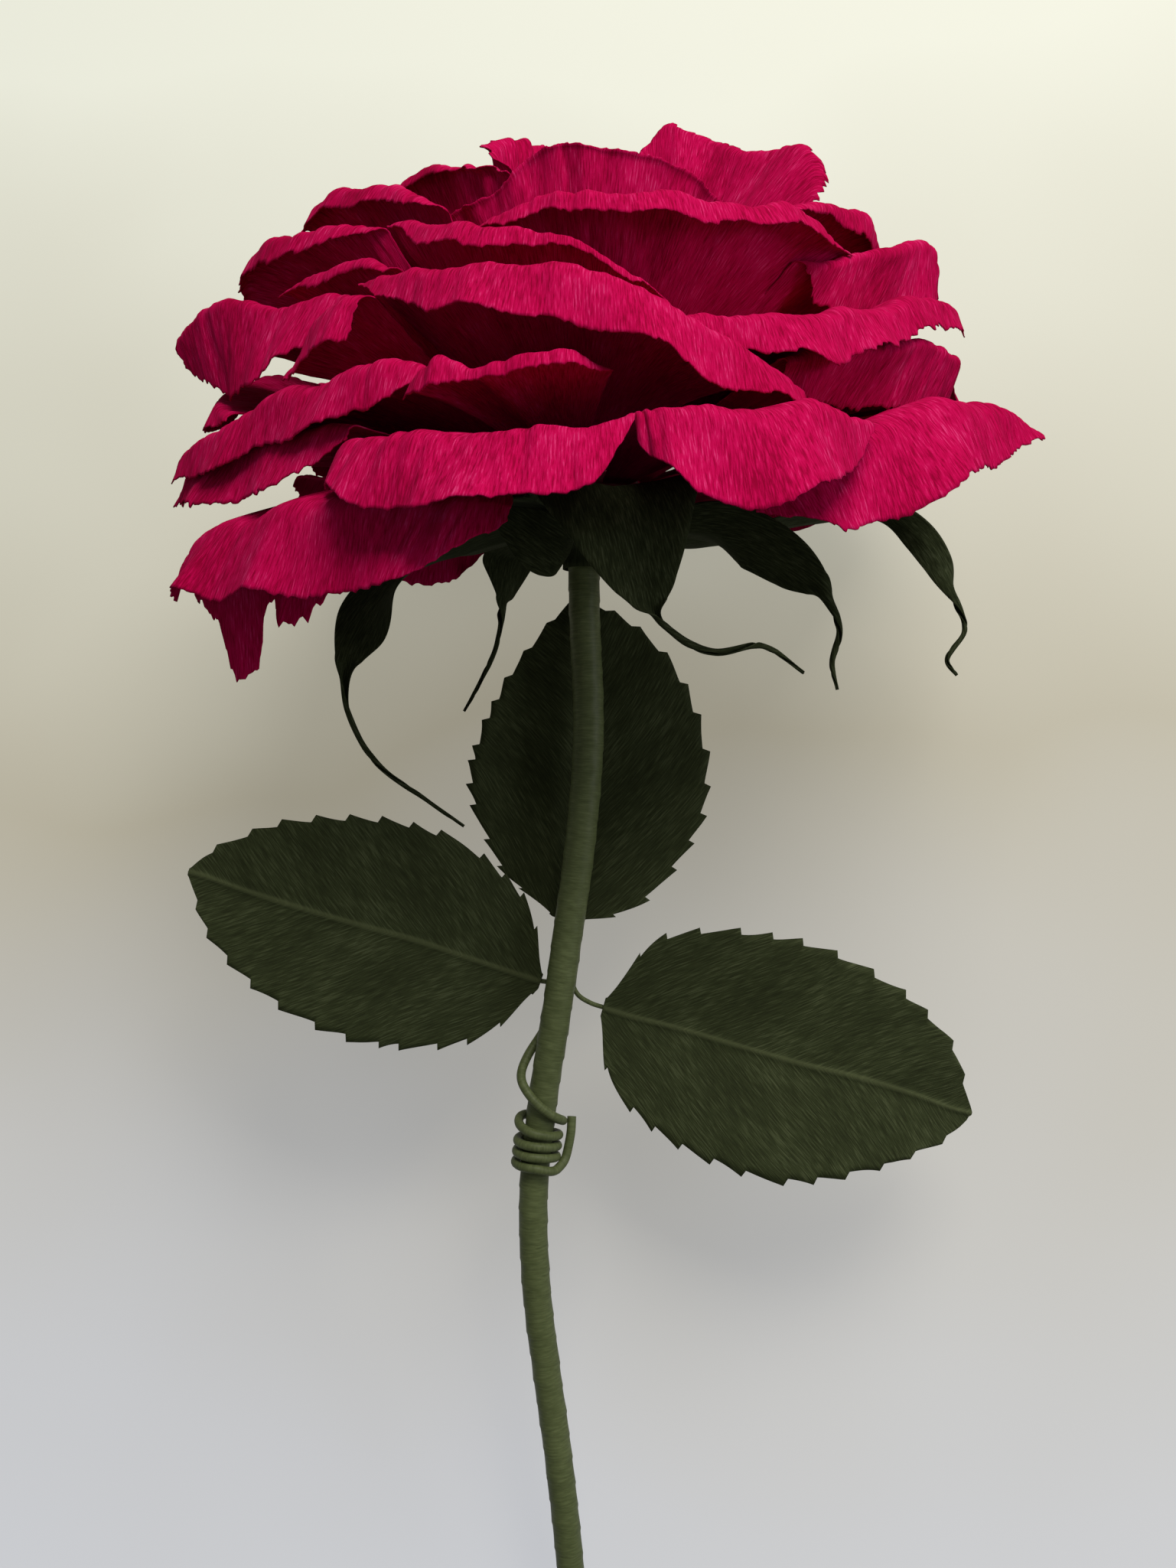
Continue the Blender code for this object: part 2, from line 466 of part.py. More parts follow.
for name, rows in LEAVES.items():
    rows = placed(rows)
    side = unit(np.cross(np.subtract(rows[-1][:3], rows[0][:3]), (0, 1, 0)))
    sheet(name, ribbon(rows, side, 4, 2 * LEAF_TEETH, LEAF_FOLD, LEAF_TEETH, TOOTH_DEPTH), GREEN)
behind = np.array([0, SHEET / 2 + GAP + WIRE_RADIUS + 0.1, 0])
for name, root in WIRE_ROOTS.items():
    rib = [tuple(row[:3] + behind) for row in placed(LEAVES["leaf_" + name][:WIRE_ROWS])]
    path = curve(root + rib, np.linspace(0, 1, WIRE_RINGS))
    tube("wire_" + name, path, np.linspace(WIRE_RADIUS, WIRE_TIP, WIRE_RINGS), WIRE_SIDES, WRAP)
for name, rows in SEPALS.items():
    rows = rooted(rows)
    side = unit(np.cross(np.subtract(rows[2][:3], rows[0][:3]) * (1, 1, 0), (0, 0, 1)))
    sheet(name, ribbon(rows, side, 2, 16, SEPAL_FOLD), GREEN)
rows = rooted(CALYX_FLAP)
flap_side = unit(np.cross(np.subtract(rows[4][:3], rows[0][:3]), (0, 1, 0.3)))
sheet("calyx_flap", ribbon(rows, flap_side, 2, 8, SEPAL_FOLD), GREEN)

around_stem = []
for angle, height, off in curve(STALK_AROUND, np.linspace(0, 1, STALK_RINGS)):
    centre = np.interp(height, line[::-1, 2], line[::-1, 0])
    wide = np.interp(height, line[::-1, 2], outer[::-1]) + off
    turn = math.radians(angle)
    around_stem.append((centre - wide * math.sin(turn), wide * math.cos(turn), height))
tube("leaf_stalk", around_stem, np.full(STALK_RINGS, STALK_RADIUS), STALK_SIDES, WRAP)

# Laid on its back petals and the stem's end, with the origin under the middle of its box.
laid.rotation_mode = "QUATERNION"
lay = Matrix.Rotation(math.radians(LAY_BACK), 4, "X") @ Matrix.Rotation(math.radians(LAY_ROLL), 4, "Z")
laid.rotation_quaternion = lay.to_quaternion()
corners = np.concatenate([[lay @ vertex.co for vertex in node.data.vertices] for node in laid.children])
low, high = corners.min(0), corners.max(0)
laid.location = (-(low[0] + high[0]) / 2, -(low[1] + high[1]) / 2, -low[2])
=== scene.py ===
"""Looks of a large crepe paper rose on a wrapped stem, which lies on its back petals: wrap, bulb, petals, calyx,
leaves and their wires, then the camera, the floor and the light."""

import math

import bpy
import numpy as np
from mathutils import Matrix, Vector, noise


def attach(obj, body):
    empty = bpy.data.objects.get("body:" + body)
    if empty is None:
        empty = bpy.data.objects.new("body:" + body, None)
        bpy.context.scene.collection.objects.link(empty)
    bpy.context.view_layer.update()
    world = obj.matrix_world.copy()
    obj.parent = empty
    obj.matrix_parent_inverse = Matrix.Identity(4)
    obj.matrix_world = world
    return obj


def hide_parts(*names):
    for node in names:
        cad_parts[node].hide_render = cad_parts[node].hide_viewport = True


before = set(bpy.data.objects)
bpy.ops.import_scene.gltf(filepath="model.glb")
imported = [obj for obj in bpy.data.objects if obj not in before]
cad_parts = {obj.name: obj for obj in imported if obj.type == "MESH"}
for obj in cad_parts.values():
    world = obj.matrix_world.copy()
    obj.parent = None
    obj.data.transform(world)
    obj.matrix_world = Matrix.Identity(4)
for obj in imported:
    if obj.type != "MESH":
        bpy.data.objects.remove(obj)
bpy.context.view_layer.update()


# The stem: a drawn aluminium rod, bent by hand, that a strip of green crepe paper is wound round from the flower
# down. Each turn of the strip covers the edge of the one before and leaves a faint seam, and the wrap stops short of
# the rod's cut end.
MM = 0.001
EYE = np.array([1.8, -560.0, -89.4])  # the camera's place while the rose is upright, and what the tables are read from
LAY_ROLL, LAY_BACK, LAY_AT = 7.1, -77.2, (-6.8, 180.0, 131.1)  # degrees about its stem, degrees back, and then where
STEM_TOP_RADIUS, STEM_FOOT_RADIUS = 6.6, 5.45
STEM_LINE = [  # right, height
    (0.0, 6.0), (0.4, -20.0), (2.0, -66.0), (-1.0, -110.0), (-6.5, -151.0), (-11.7, -187.0), (-16.2, -215.0),
    (-20.3, -250.0), (-21.1, -270.0), (-19.6, -302.0), (-15.6, -334.0), (-11.2, -366.0), (-7.4, -398.0),
    (-4.5, -430.0), (-3.0, -470.0), (-3.0, -520.0), (-4.0, -570.0),
]
ROD_RADIUS, ROD_TOP, ROD_PROUD, ROD_CHAMFER = 4.2, 20.0, 4.0, 0.4
WRAP_PITCH, WRAP_STEP, WRAP_THICK = 10.0, 0.3, 0.8
WRAP_WANDER, WRAP_CRUMPLE = 0.18, 0.18  # share of a turn that a seam strays, and how deep the strip's crumples are
STEM_POINTS, ROD_EVERY, STEM_SIDES, ROD_SIDES = 400, 4, 40, 32  # the rod has every fourth point of the wrap's line
PATCH_WIDE, PATCH_LONG, PATCH_SHARE = 20.0, 40.0, 0.4  # crepe paper's paler patches, in millimetres, and their weight
WELD = 0.01  # points nearer than this are one, in millimetres

laid = (
    Matrix.Translation(LAY_AT)
    @ Matrix.Rotation(math.radians(LAY_BACK), 4, "X")
    @ Matrix.Rotation(math.radians(LAY_ROLL), 4, "Z")
)


def unit(vectors):
    return vectors / np.linalg.norm(vectors, axis=-1, keepdims=True)


def curve(rows, at):
    """Points of a smooth curve through the rows, at shares 0 to 1 of the way along them."""
    rows = np.asarray(rows, float)
    steps = np.linalg.norm(np.diff(rows[:, :3], axis=0), axis=1)
    knots = np.concatenate([[0.0], np.cumsum(np.sqrt(steps))])
    knots /= knots[-1]
    slopes = np.gradient(rows, knots, axis=0)
    index = np.clip(np.searchsorted(knots, at, side="right") - 1, 0, len(knots) - 2)
    width = (knots[index + 1] - knots[index])[:, None]
    t = (np.asarray(at) - knots[index])[:, None] / width
    return (
        (2 * t**3 - 3 * t**2 + 1) * rows[index]
        + (t**3 - 2 * t**2 + t) * width * slopes[index]
        + (3 * t**2 - 2 * t**3) * rows[index + 1]
        + (t**3 - t**2) * width * slopes[index + 1]
    )


def rough(u, v, seed):
    """Smooth noise from -1 to 1 at each place, the same on every run."""
    u, v = np.broadcast_arrays(u, v)
    return np.array([noise.noise((a, b, seed)) for a, b in zip(u.ravel(), v.ravel())]).reshape(u.shape)


def colour(code):
    """An sRGB hex colour as linear red, green, blue and alpha."""
    parts = [int(code[i:i + 2], 16) / 255 for i in (1, 3, 5)]
    return (*[p / 12.92 if p <= 0.04045 else ((p + 0.055) / 1.055) ** 2.4 for p in parts], 1)


def add_node(material, kind, inputs=None, **settings):
    """One shader node with its settings, and its inputs as values or as the sockets that feed them."""
    made = material.node_tree.nodes.new(kind)
    for name, value in settings.items():
        setattr(made, name, value)
    for name, value in (inputs or {}).items():
        if isinstance(value, bpy.types.NodeSocket):
            material.node_tree.links.new(value, made.inputs[name])
        else:
            made.inputs[name].default_value = value
    return made


def ramp(made, stops):
    """Sets a colour ramp's stops: place and hex colour."""
    elements = made.color_ramp.elements
    while len(elements) < len(stops):
        elements.new(1)
    for element, (at, code) in zip(elements, stops):
        element.position, element.color = at, colour(code)


def new_material(name):
    material = bpy.data.materials.new(name)
    material.use_nodes = True
    return material, material.node_tree.nodes["Principled BSDF"]


def crepe_paper(name, stops, spacing, length, relief, roughness, gloss, sheen, sheen_tint):
    """Crepe paper: dyed tissue pushed into fine wrinkles by a blade, so it is matt, soft and streaked along them.
    Its colour is lighter on the wrinkles' tops and darker in their troughs, a painted highlight and painted shade that
    follow the bump, over paler patches of the dye that vary at random.
    The piece's map is in millimetres, U across the wrinkles and V along them, as are a wrinkle's spacing and length."""
    material, shader = new_material(name)
    grain = add_node(material, "ShaderNodeUVMap", uv_map="Grain").outputs["UV"]
    wrinkles = add_node(material, "ShaderNodeMapping", {"Vector": grain, "Scale": (1 / spacing, 1 / length, 1)})
    ridges = add_node(material, "ShaderNodeTexNoise", {
        "Vector": wrinkles.outputs["Vector"], "Scale": 1, "Detail": 3, "Roughness": 0.6, "Distortion": 0.3})
    patches = add_node(material, "ShaderNodeMapping", {
        "Vector": grain, "Scale": (1 / PATCH_WIDE, 1 / PATCH_LONG, 1)})
    fade = add_node(material, "ShaderNodeTexNoise", {
        "Vector": patches.outputs["Vector"], "Scale": 1, "Detail": 3, "Roughness": 0.55})
    # Painted highlight and shade: the ramp below makes the wrinkles' tops lighter and their troughs darker, from the
    # same noise as the bump, and adds the dye's paler patches.
    streak = add_node(material, "ShaderNodeMath", {
        0: fade.outputs["Fac"], 1: PATCH_SHARE, 2: ridges.outputs["Fac"]}, operation="MULTIPLY_ADD")
    dye_and_ridge_light = add_node(material, "ShaderNodeValToRGB", {"Fac": streak.outputs["Value"]})
    ramp(dye_and_ridge_light, stops)
    bump = add_node(material, "ShaderNodeBump", {
        "Strength": 1.0, "Distance": relief * MM, "Height": ridges.outputs["Fac"]})
    for socket, value in {"Roughness": roughness, "Specular IOR Level": gloss, "Sheen Weight": sheen,
                          "Sheen Roughness": 0.5, "Sheen Tint": colour(sheen_tint)}.items():
        shader.inputs[socket].default_value = value
    material.node_tree.links.new(dye_and_ridge_light.outputs["Color"], shader.inputs["Base Color"])
    material.node_tree.links.new(bump.outputs["Normal"], shader.inputs["Normal"])
    return material


def grid_piece(node, places, grain, material, thick=None, offset=0.0, closed=False):
    """The piece that stands for a node, from a grid of points [across][along] in millimetres and its grain map.
    It is given a wall by Solidify, or is a bar if it has no thickness."""
    across, along = places.shape[:2]
    bpy.ops.object.select_all(action="DESELECT")
    bpy.ops.mesh.primitive_grid_add(x_subdivisions=across - 1, y_subdivisions=along - 1, size=1)
    piece = bpy.context.object
    piece.name = piece.data.name = node + "_made"
    mesh = piece.data
    flat = np.empty(len(mesh.vertices) * 3, np.float32)
    mesh.vertices.foreach_get("co", flat)
    flat = flat.reshape(-1, 3) + 0.5
    i = np.rint(flat[:, 0] * (across - 1)).astype(int)
    j = np.rint(flat[:, 1] * (along - 1)).astype(int)
    turn = np.array(laid)
    lying = places[i, j] @ turn[:3, :3].T + turn[:3, 3]
    lying[:, 2] = np.maximum(lying[:, 2], 0 if thick is None or offset else thick / 2)
    mesh.vertices.foreach_set("co", (lying * MM).ravel())
    corner = np.empty(len(mesh.loops), np.int32)
    mesh.loops.foreach_get("vertex_index", corner)
    mesh.uv_layers[0].name = "Grain"
    mesh.uv_layers[0].data.foreach_set("uv", grain[i[corner], j[corner]].ravel())
    mesh.materials.append(material)
    if closed:
        bpy.ops.object.mode_set(mode="EDIT")
        bpy.ops.mesh.select_all(action="SELECT")
        bpy.ops.mesh.remove_doubles(threshold=WELD * MM)
        if thick is None:
            bpy.ops.mesh.fill_holes(sides=0)
        bpy.ops.mesh.normals_make_consistent(inside=False)
        bpy.ops.object.mode_set(mode="OBJECT")
    if thick is not None:
        wall = piece.modifiers.new("wall", "SOLIDIFY")
        wall.thickness, wall.offset = thick * MM, offset
        bpy.ops.object.modifier_apply(modifier="wall")
    bpy.ops.object.shade_smooth()
    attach(piece, "root")
    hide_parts(node)
    return piece


def round_path(path, radii, around, depth=None):
    """Points round a path, [around][along], with its grain map: U along the path, V round it. depth(turn, length) is
    added to the radius."""
    path = np.asarray(path, float)
    way = unit(np.gradient(path, axis=0))
    length = np.concatenate([[0], np.cumsum(np.linalg.norm(np.diff(path, axis=0), axis=1))])
    side = unit(np.cross(way[0], (0.0, 1.0, 0.0)))
    sides = []
    for forward in way:
        side = unit(side - (side @ forward) * forward)
        sides.append(side)
    sides = np.array(sides)
    turn = np.linspace(0, 2 * math.pi, around + 1)[:, None]
    radius = np.broadcast_to(radii, length.shape)[None, :]
    if depth is not None:
        radius = radius + depth(turn, length[None, :])
    over = np.cross(way, sides)
    places = path[None] + radius[..., None] * (
        np.cos(turn)[..., None] * sides[None] + np.sin(turn)[..., None] * over[None])
    grain = np.stack(np.broadcast_arrays(length[None, :], turn * np.mean(radii)), -1)
    return places, grain


def strip_seam(turn, length):
    """Each turn of the strip laps over the one before: it rises slowly and drops at its edge."""
    along = length / WRAP_PITCH + turn / (2 * math.pi) + WRAP_WANDER * rough(turn * 0.8, length / 23, 3.1)
    lap = (along % 1.0) ** 3
    return WRAP_STEP * lap + WRAP_CRUMPLE * rough(np.cos(turn) * 1.5 + length / 9, np.sin(turn) * 1.5, 7.7)


stem_paper = crepe_paper(
    "waxed crepe strip", [(0.50, "#444D2D"), (0.72, "#505937"), (0.96, "#5F6944")],
    spacing=0.8, length=6.0, relief=0.05, roughness=0.5, gloss=0.2, sheen=0.03, sheen_tint="#B8C49A")
line = curve([(x, 0, z) for x, z in STEM_LINE], np.linspace(0, 1, STEM_POINTS))
wrap_radius = np.linspace(STEM_TOP_RADIUS, STEM_FOOT_RADIUS, STEM_POINTS) - WRAP_STEP / 3
places, grain = round_path(line, wrap_radius, STEM_SIDES, strip_seam)
grid_piece("stem_wrap", places, grain, stem_paper, WRAP_THICK, -1, closed=True)

# Drawn aluminium shows bright and a little scratched where it is cut.
rod_metal, shader = new_material("drawn aluminium")
place = add_node(rod_metal, "ShaderNodeTexCoord").outputs["Object"]
scratches = add_node(rod_metal, "ShaderNodeTexNoise", {"Vector": place, "Scale": 900, "Detail": 3})
scored = add_node(rod_metal, "ShaderNodeBump", {
    "Strength": 0.4, "Distance": 0.05 * MM, "Height": scratches.outputs["Fac"]})
for socket, value in {"Base Color": colour("#C3C4C6"), "Metallic": 1.0, "Roughness": 0.38}.items():
    shader.inputs[socket].default_value = value
rod_metal.node_tree.links.new(scored.outputs["Normal"], shader.inputs["Normal"])
end_way = unit(line[-1] - line[-2])
rod = np.concatenate([[(0, 0, ROD_TOP)], line[::ROD_EVERY], [line[-1] + end_way * (ROD_PROUD - ROD_CHAMFER)],
                      [line[-1] + end_way * ROD_PROUD]])
rod_radius = np.full(len(rod), ROD_RADIUS)
rod_radius[-1] -= ROD_CHAMFER
places, grain = round_path(rod, rod_radius, ROD_SIDES)
grid_piece("stem_core", places, grain, rod_metal, closed=True)


# The bulb is a ball of rigid foam on the rod's top, which the petals' feet are glued round. It is painted a dark red,
# so that it doesn't show at the bottom of the open flower.
bulb_foam, shader = new_material("painted foam")
place = add_node(bulb_foam, "ShaderNodeTexCoord").outputs["Object"]
cells = add_node(bulb_foam, "ShaderNodeTexVoronoi", {"Vector": place, "Scale": 500})
pitted = add_node(bulb_foam, "ShaderNodeBump", {
    "Strength": 0.6, "Distance": 0.4 * MM, "Height": cells.outputs["Distance"]})
for socket, value in {"Base Color": colour("#5A0420"), "Roughness": 0.85}.items():
    shader.inputs[socket].default_value = value
bulb_foam.node_tree.links.new(pitted.outputs["Normal"], shader.inputs["Normal"])
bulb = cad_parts["flower_core"]
bulb.data.materials.clear()
bulb.data.materials.append(bulb_foam)


# The petals: each is one sheet of crimson crepe paper, cut with its grain along its length, stretched over a thumb to
# cup it, rolled outward at its torn rim, and glued by its foot to the bulb over the petals below.
RING_RADIUS, RING_HEIGHT, FOOT = 12.0, 27.0, 15.0  # the bulb's ring, and how far off it the petals start
BEND_AT, BEND_FLAT, BEND_PER_DEGREE = 150.0, -30.0, 0.6  # degrees turned that far out, and more for a sloping foot
LAYER_FIRST, LAYER_STEP = 4.0, 4.2  # the lowest petal's slope at its foot, and what each place up the pile adds
FOOT_SHARE = 0.6  # a foot's turn round the bulb, as a share of its rim's
ROLL_TO, ROLL_SHARE, ROLL_TIGHTEST, ROLL_WIDEST = -66.0, 0.3, 4.0, 12.0  # final slope; radius as a share of the hang
ROLL_STRAY = 26.0  # degrees that the end of a roll strays from its slope
RUFFLE, RUFFLE_EVERY, RUFFLE_SHIFT = 0.35, 17.0, 2.4  # a rim's waves: their height, their length and their shift
PAPER = 0.5  # drawn thicker than the real sheet, so that it has two faces
DEGREE = 1.2  # millimetres that a degree round the ring counts for where a rim's points are spaced
COLUMN, HIDDEN_COLUMN, ROW = 1.0, 2.4, 1.4  # millimetres between points at the rim, and on the paper that hangs
FEWEST_COLUMNS, MOST_COLUMNS, RIM_POINTS, FOOT_ROWS, FEWEST_ROWS = 36, 190, 60, 26, 3
LEAST_HANG, LEAST_EDGE = 0.6, 0.4  # the least paper that is left beyond a rim, before and after it is torn
# The paper's unevenness: length across and along the grain, and depth.
TEAR_LEAN, EDGE_WAVES, EDGE_FUZZ = (12, 1, 1.4), (11, 1, 1.6), (2.1, 1, 0.7)
TEAR_EVERY, TEAR_DEPTH, FULL_TEAR = 6.5, 1.1, 5.0  # a rim that hangs less than a full tear is torn less
DENTS, PUCKERS, FOLDS, CRINKLES, FOLD_SINK = (26, 30, 1.6), (8, 22, 0.6), (9, 60, 1.9), (3.1, 40, 0.55), 0.5
FOLD_WANDER = (30, 40, 5)
RAGGED, SIDE_WAVES, SIDE_FUZZ, SIDE_REACH = 1.2, (4, 1, 1.0), (1.7, 1, 0.6), 3.0
CUPPED_BY = 110.0  # how far from the foot the sheet is fully uneven
PLEAT_EDGE, PLEAT_REACH, PLEAT_RISE = 0.4, 30.0, 8.0
TATTERED = {"petal_torn_left": 3.2, "petal_top_right": 2.8, "petal_second_right": 1.8, "petal_under_left": 1.5,
            "petal_band_right": 1.4, "petal_low_right": 1.8, "petal_second_left": 1.5, "petal_tongue_left": 1.5}
TIGHT_ROLLS = {  # radius, and the slope the paper turns down to at the left and the right end
    "petal_tongue_left": (3.0, -112.0, -60.0), "petal_low_right": (3.0, -124.0, -112.0),
    "petal_second_right": (3.0, -116.0, -102.0), "petal_upper_right": (4.0, -100.0, -85.0),
    "petal_side_left": (4.0, -80.0, -80.0), "petal_torn_left": (6.0, -92.0, -80.0),
}
SEED_STEP, HIDDEN_SEED = 11.7, 400.0
PLEATS = {"petal_low_front": (0.69, 1.6), "petal_front_right": (0.72, 1.0), "petal_band_front": (0.55, 0.8)}
SEEN_PETALS = {  # place in the pile; rim from left to right: right, height, towards the viewer, and what hangs
    "petal_torn_left": (0, [
        (-160, -2, 24, 10), (-153, -1, 32, 20), (-145, 0, 40, 38), (-137, 0, 46, 36), (-130, 1, 50, 14),
        (-121, 1, 54, 22), (-110, 0, 58, 14), (-102, 0, 60, 5)]),
    "petal_peek_left": (0, [(-92, 12, -26, 4), (-74, 12, -44, 18), (-54, 10, -58, 18), (-36, 13, -66, 4)]),
    "petal_low_left": (1, [
        (-167, 3, 26, 10), (-160, 13, 40, 26), (-140, 21, 60, 34), (-114, 29, 82, 38), (-97, 32, 91, 39),
        (-65, 30, 101, 34), (-30, 28, 98, 6)]),
    "petal_far_right": (1, [
        (66, 40, 88, 18), (95, 50, 78, 38), (119, 64, 64, 44), (146, 70, 46, 38), (160, 69, 34, 30),
        (174, 65, 24, 20), (188, 56, 16, 5)]),
    "petal_low_front": (2, [
        (-104, 42, 80, 8), (-97, 52, 92, 20), (-80, 57, 106, 32), (-52, 58, 118, 35), (-21, 58, 124, 32),
        (5, 61, 126, 25), (21, 66, 122, 4)]),
    "petal_front_right": (3, [
        (21, 66, 122, 4), (25, 67, 124, 18), (33, 68, 126, 30), (53, 68, 123, 42), (76, 69, 113, 42),
        (97, 69, 98, 32), (118, 62, 80, 6)]),
    "petal_under_left": (3, [
        (-165, 38, 6, 12), (-154, 45, 25, 22), (-132, 53, 48, 28), (-108, 59, 70, 26), (-94, 60, 80, 8)]),
    "petal_fold_front": (4, [
        (-72, 76, 94, 6), (-59, 88, 106, 15), (-46, 84, 109, 8), (-30, 89, 111, 9), (-6, 90, 109, 8),
        (12, 84, 98, 3)]),
    "petal_band_left": (5, [
        (-167, 48, 17, 12), (-148, 60, 40, 22), (-123, 74, 58, 27), (-97, 81, 76, 28), (-76, 87, 88, 20),
        (-62, 83, 94, 4)]),
    "petal_side_left": (6, [
        (-146, 66, 24, 5), (-151, 68, 12, 12), (-148, 74, -4, 18), (-136, 79, -18, 16), (-120, 80, -36, 6)]),
    "petal_low_right": (7, [
        (82, 88, 72, 10), (100, 94, 64, 24), (118, 96, 50, 30), (132, 96, 36, 31), (146, 95, 18, 32), (153, 90, 2, 26),
        (149, 81, -14, 10)]),
    "petal_curl_left": (7, [
        (-121, 84, 48, 6), (-110, 97, 56, 20), (-98, 108, 63, 28), (-89, 113, 68, 30), (-84, 112, 70, 26)]),
    "petal_tongue_left": (8, [
        (-165, 98, -6, 16), (-159, 107, 6, 30), (-150, 111, 16, 42), (-126, 110, 32, 34), (-100, 114, 46, 26),
        (-84, 110, 56, 10)]),
    "petal_band_front": (9, [
        (-90, 119, 54, 5), (-71, 123, 70, 18), (-48, 125, 82, 31), (-20, 125, 91, 36), (12, 120, 97, 35),
        (41, 106, 99, 31), (66, 92, 92, 23), (90, 76, 80, 8)]),
    "petal_band_right": (10, [
        (36, 105, 84, 5), (63, 107, 80, 18), (88, 107, 70, 28), (108, 109, 56, 22), (125, 110, 40, 18),
        (140, 115, 22, 16), (150, 112, 6, 14), (155, 103, -8, 8)]),
    "petal_shoulder_left": (10, [
        (-74, 126, 54, 5), (-90, 128, 44, 10), (-106, 124, 34, 10), (-122, 115, 18, 6)]),
    "petal_second_front": (11, [
        (-77, 144, 42, 5), (-60, 143, 56, 16), (-40, 141, 69, 18), (-9, 139, 79, 10), (12, 128, 82, 8),
        (34, 112, 82, 4)]),
    "petal_second_left": (12, [
        (-80, 142, 31, 6), (-98, 143, 28, 12), (-116, 140, 16, 14), (-130, 137, 2, 14), (-137, 127, -12, 10),
        (-137, 113, -26, 4)]),
    "petal_second_right": (12, [
        (86, 130, 30, 8), (104, 131, 26, 24), (121, 135, 12, 30), (134, 138, -4, 34), (144, 134, -14, 30),
        (145, 118, -28, 12)]),
    "petal_upper_front": (13, [
        (-46, 138, 54, 5), (-24, 151, 66, 14), (-7, 156, 70, 16), (12, 155, 72, 18), (33, 156, 70, 20),
        (60, 151, 62, 16), (85, 151, 46, 14), (97, 142, 34, 12), (107, 132, 22, 5)]),
    "petal_upper_left": (14, [
        (-56, 150, 42, 5), (-72, 159, 30, 12), (-90, 160, 14, 14), (-106, 154, -4, 14), (-114, 143, -20, 8)]),
    "petal_upper_right": (15, [
        (70, 150, 38, 5), (90, 154, 26, 8), (106, 153, 6, 14), (117, 145, -12, 14), (118, 132, -26, 8)]),
    "petal_top_front": (15, [
        (-57, 146, 22, 3), (-36, 158, 38, 3), (-20, 173, 44, 3), (-8, 178, 46, 3), (12, 175, 46, 3),
        (37, 169, 40, 3), (56, 152, 22, 3)]),
    "petal_top_left": (16, [
        (-28, 164, 34, 4), (-46, 169, 20, 8), (-62, 168, 4, 12), (-74, 160, -8, 12), (-78, 150, -22, 6)]),
    "petal_top_right": (16, [
        (23, 174, -24, 3), (33, 187, -26, 3), (44, 184, -26, 3), (56, 179, -22, 3), (67, 174, -16, 4),
        (79, 178, -8, 4), (90, 178, 2, 5), (96, 168, 8, 5), (95, 156, 12, 3)]),
    "petal_crown_left": (18, [
        (-30, 168, 18, 3), (-38, 176, 4, 5), (-31, 181, -12, 6), (-18, 180, -26, 5), (-4, 172, -36, 3)]),
}
HIDDEN_PETALS = {  # place in the pile; rim: azimuth from the viewer's side, radius, height and what hangs
    "petal_bud_inner": (21, [(-60, 8, 150, 0), (10, 8, 156, 0), (80, 8, 150, 0)]),
    "petal_bud_outer": (20, [(100, 14, 152, 0), (180, 14, 160, 0), (260, 14, 152, 0)]),
    "petal_bud_front": (19, [(-70, 22, 152, 2), (0, 23, 162, 3), (70, 22, 152, 2)]),
    "petal_bud_back": (19, [(100, 22, 156, 2), (142, 24, 168, 3), (182, 22, 156, 2)]),
    "petal_top_back": (15, [(134, 48, 156, 3), (158, 54, 168, 6), (188, 54, 170, 6), (216, 48, 156, 3)]),
    "petal_upper_back_right": (14, [(96, 78, 138, 5), (120, 86, 154, 12), (150, 86, 156, 12), (176, 72, 146, 3)]),
    "petal_upper_back_left": (13, [(164, 80, 116, 5), (190, 84, 150, 12), (216, 86, 154, 12), (240, 78, 140, 5)]),
    "petal_second_back_right": (13, [
        (105, 102, 126, 4), (122, 114, 143, 14), (144, 118, 142, 16), (170, 106, 122, 6)]),
    "petal_second_back_left": (12, [
        (158, 106, 104, 6), (184, 118, 129, 16), (212, 120, 130, 16), (236, 108, 116, 6)]),
    "petal_band_back_right": (9, [
        (82, 134, 90, 5), (95, 148, 97, 13), (108, 160, 103, 30), (128, 158, 108, 28), (150, 148, 110, 22),
        (174, 134, 96, 8)]),
    "petal_band_back_left": (8, [(166, 132, 80, 8), (196, 144, 98, 22), (224, 146, 102, 22), (252, 132, 92, 8)]),
    "petal_low_back_right": (6, [(80, 134, 60, 6), (106, 148, 78, 24), (140, 160, 80, 24), (164, 136, 64, 8)]),
    "petal_low_back_left": (5, [(160, 132, 53, 8), (188, 142, 76, 22), (220, 160, 80, 24), (246, 136, 68, 8)]),
    "petal_hang_back_right": (2, [(84, 128, 46, 8), (116, 144, 60, 26), (146, 142, 56, 24), (170, 122, 36, 8)]),
    "petal_hang_back_left": (1, [(176, 118, 32, 8), (200, 136, 54, 26), (228, 138, 58, 26), (258, 126, 46, 8)]),
    "petal_last_back": (0, [(116, 80, 28, 4), (132, 94, 36, 12), (150, 94, 36, 12), (166, 80, 26, 4)]),
}


def seen(right, height, near):
    """A point of the tables moved towards the eye, so that it still looks to be where it was."""
    share = (-EYE[1] - near) / -EYE[1]
    return np.array([EYE[0] + (right - EYE[0]) * share, -near, EYE[2] + (height - EYE[2]) * share])


def rim_of(points):
    """A seen rim as azimuth, radius, height and hang."""
    rim = []
    for right, height, near, hang in points:
        x, y, z = seen(right, height, near)
        rim.append((math.degrees(math.atan2(x, -y)), math.hypot(x, y), z, hang))
    return rim


def round_bulb(azimuth, radius, height):
    """Points at an azimuth in radians from the viewer's side, a radius and a height."""
    return np.stack([radius * np.sin(azimuth), -radius * np.cos(azimuth), height], 1)


def uneven(u, v, size, seed):
    """Noise with a length across and along the grain, and a depth."""
    across, along, depth = size
    return depth * rough(u / across, v / along, seed)


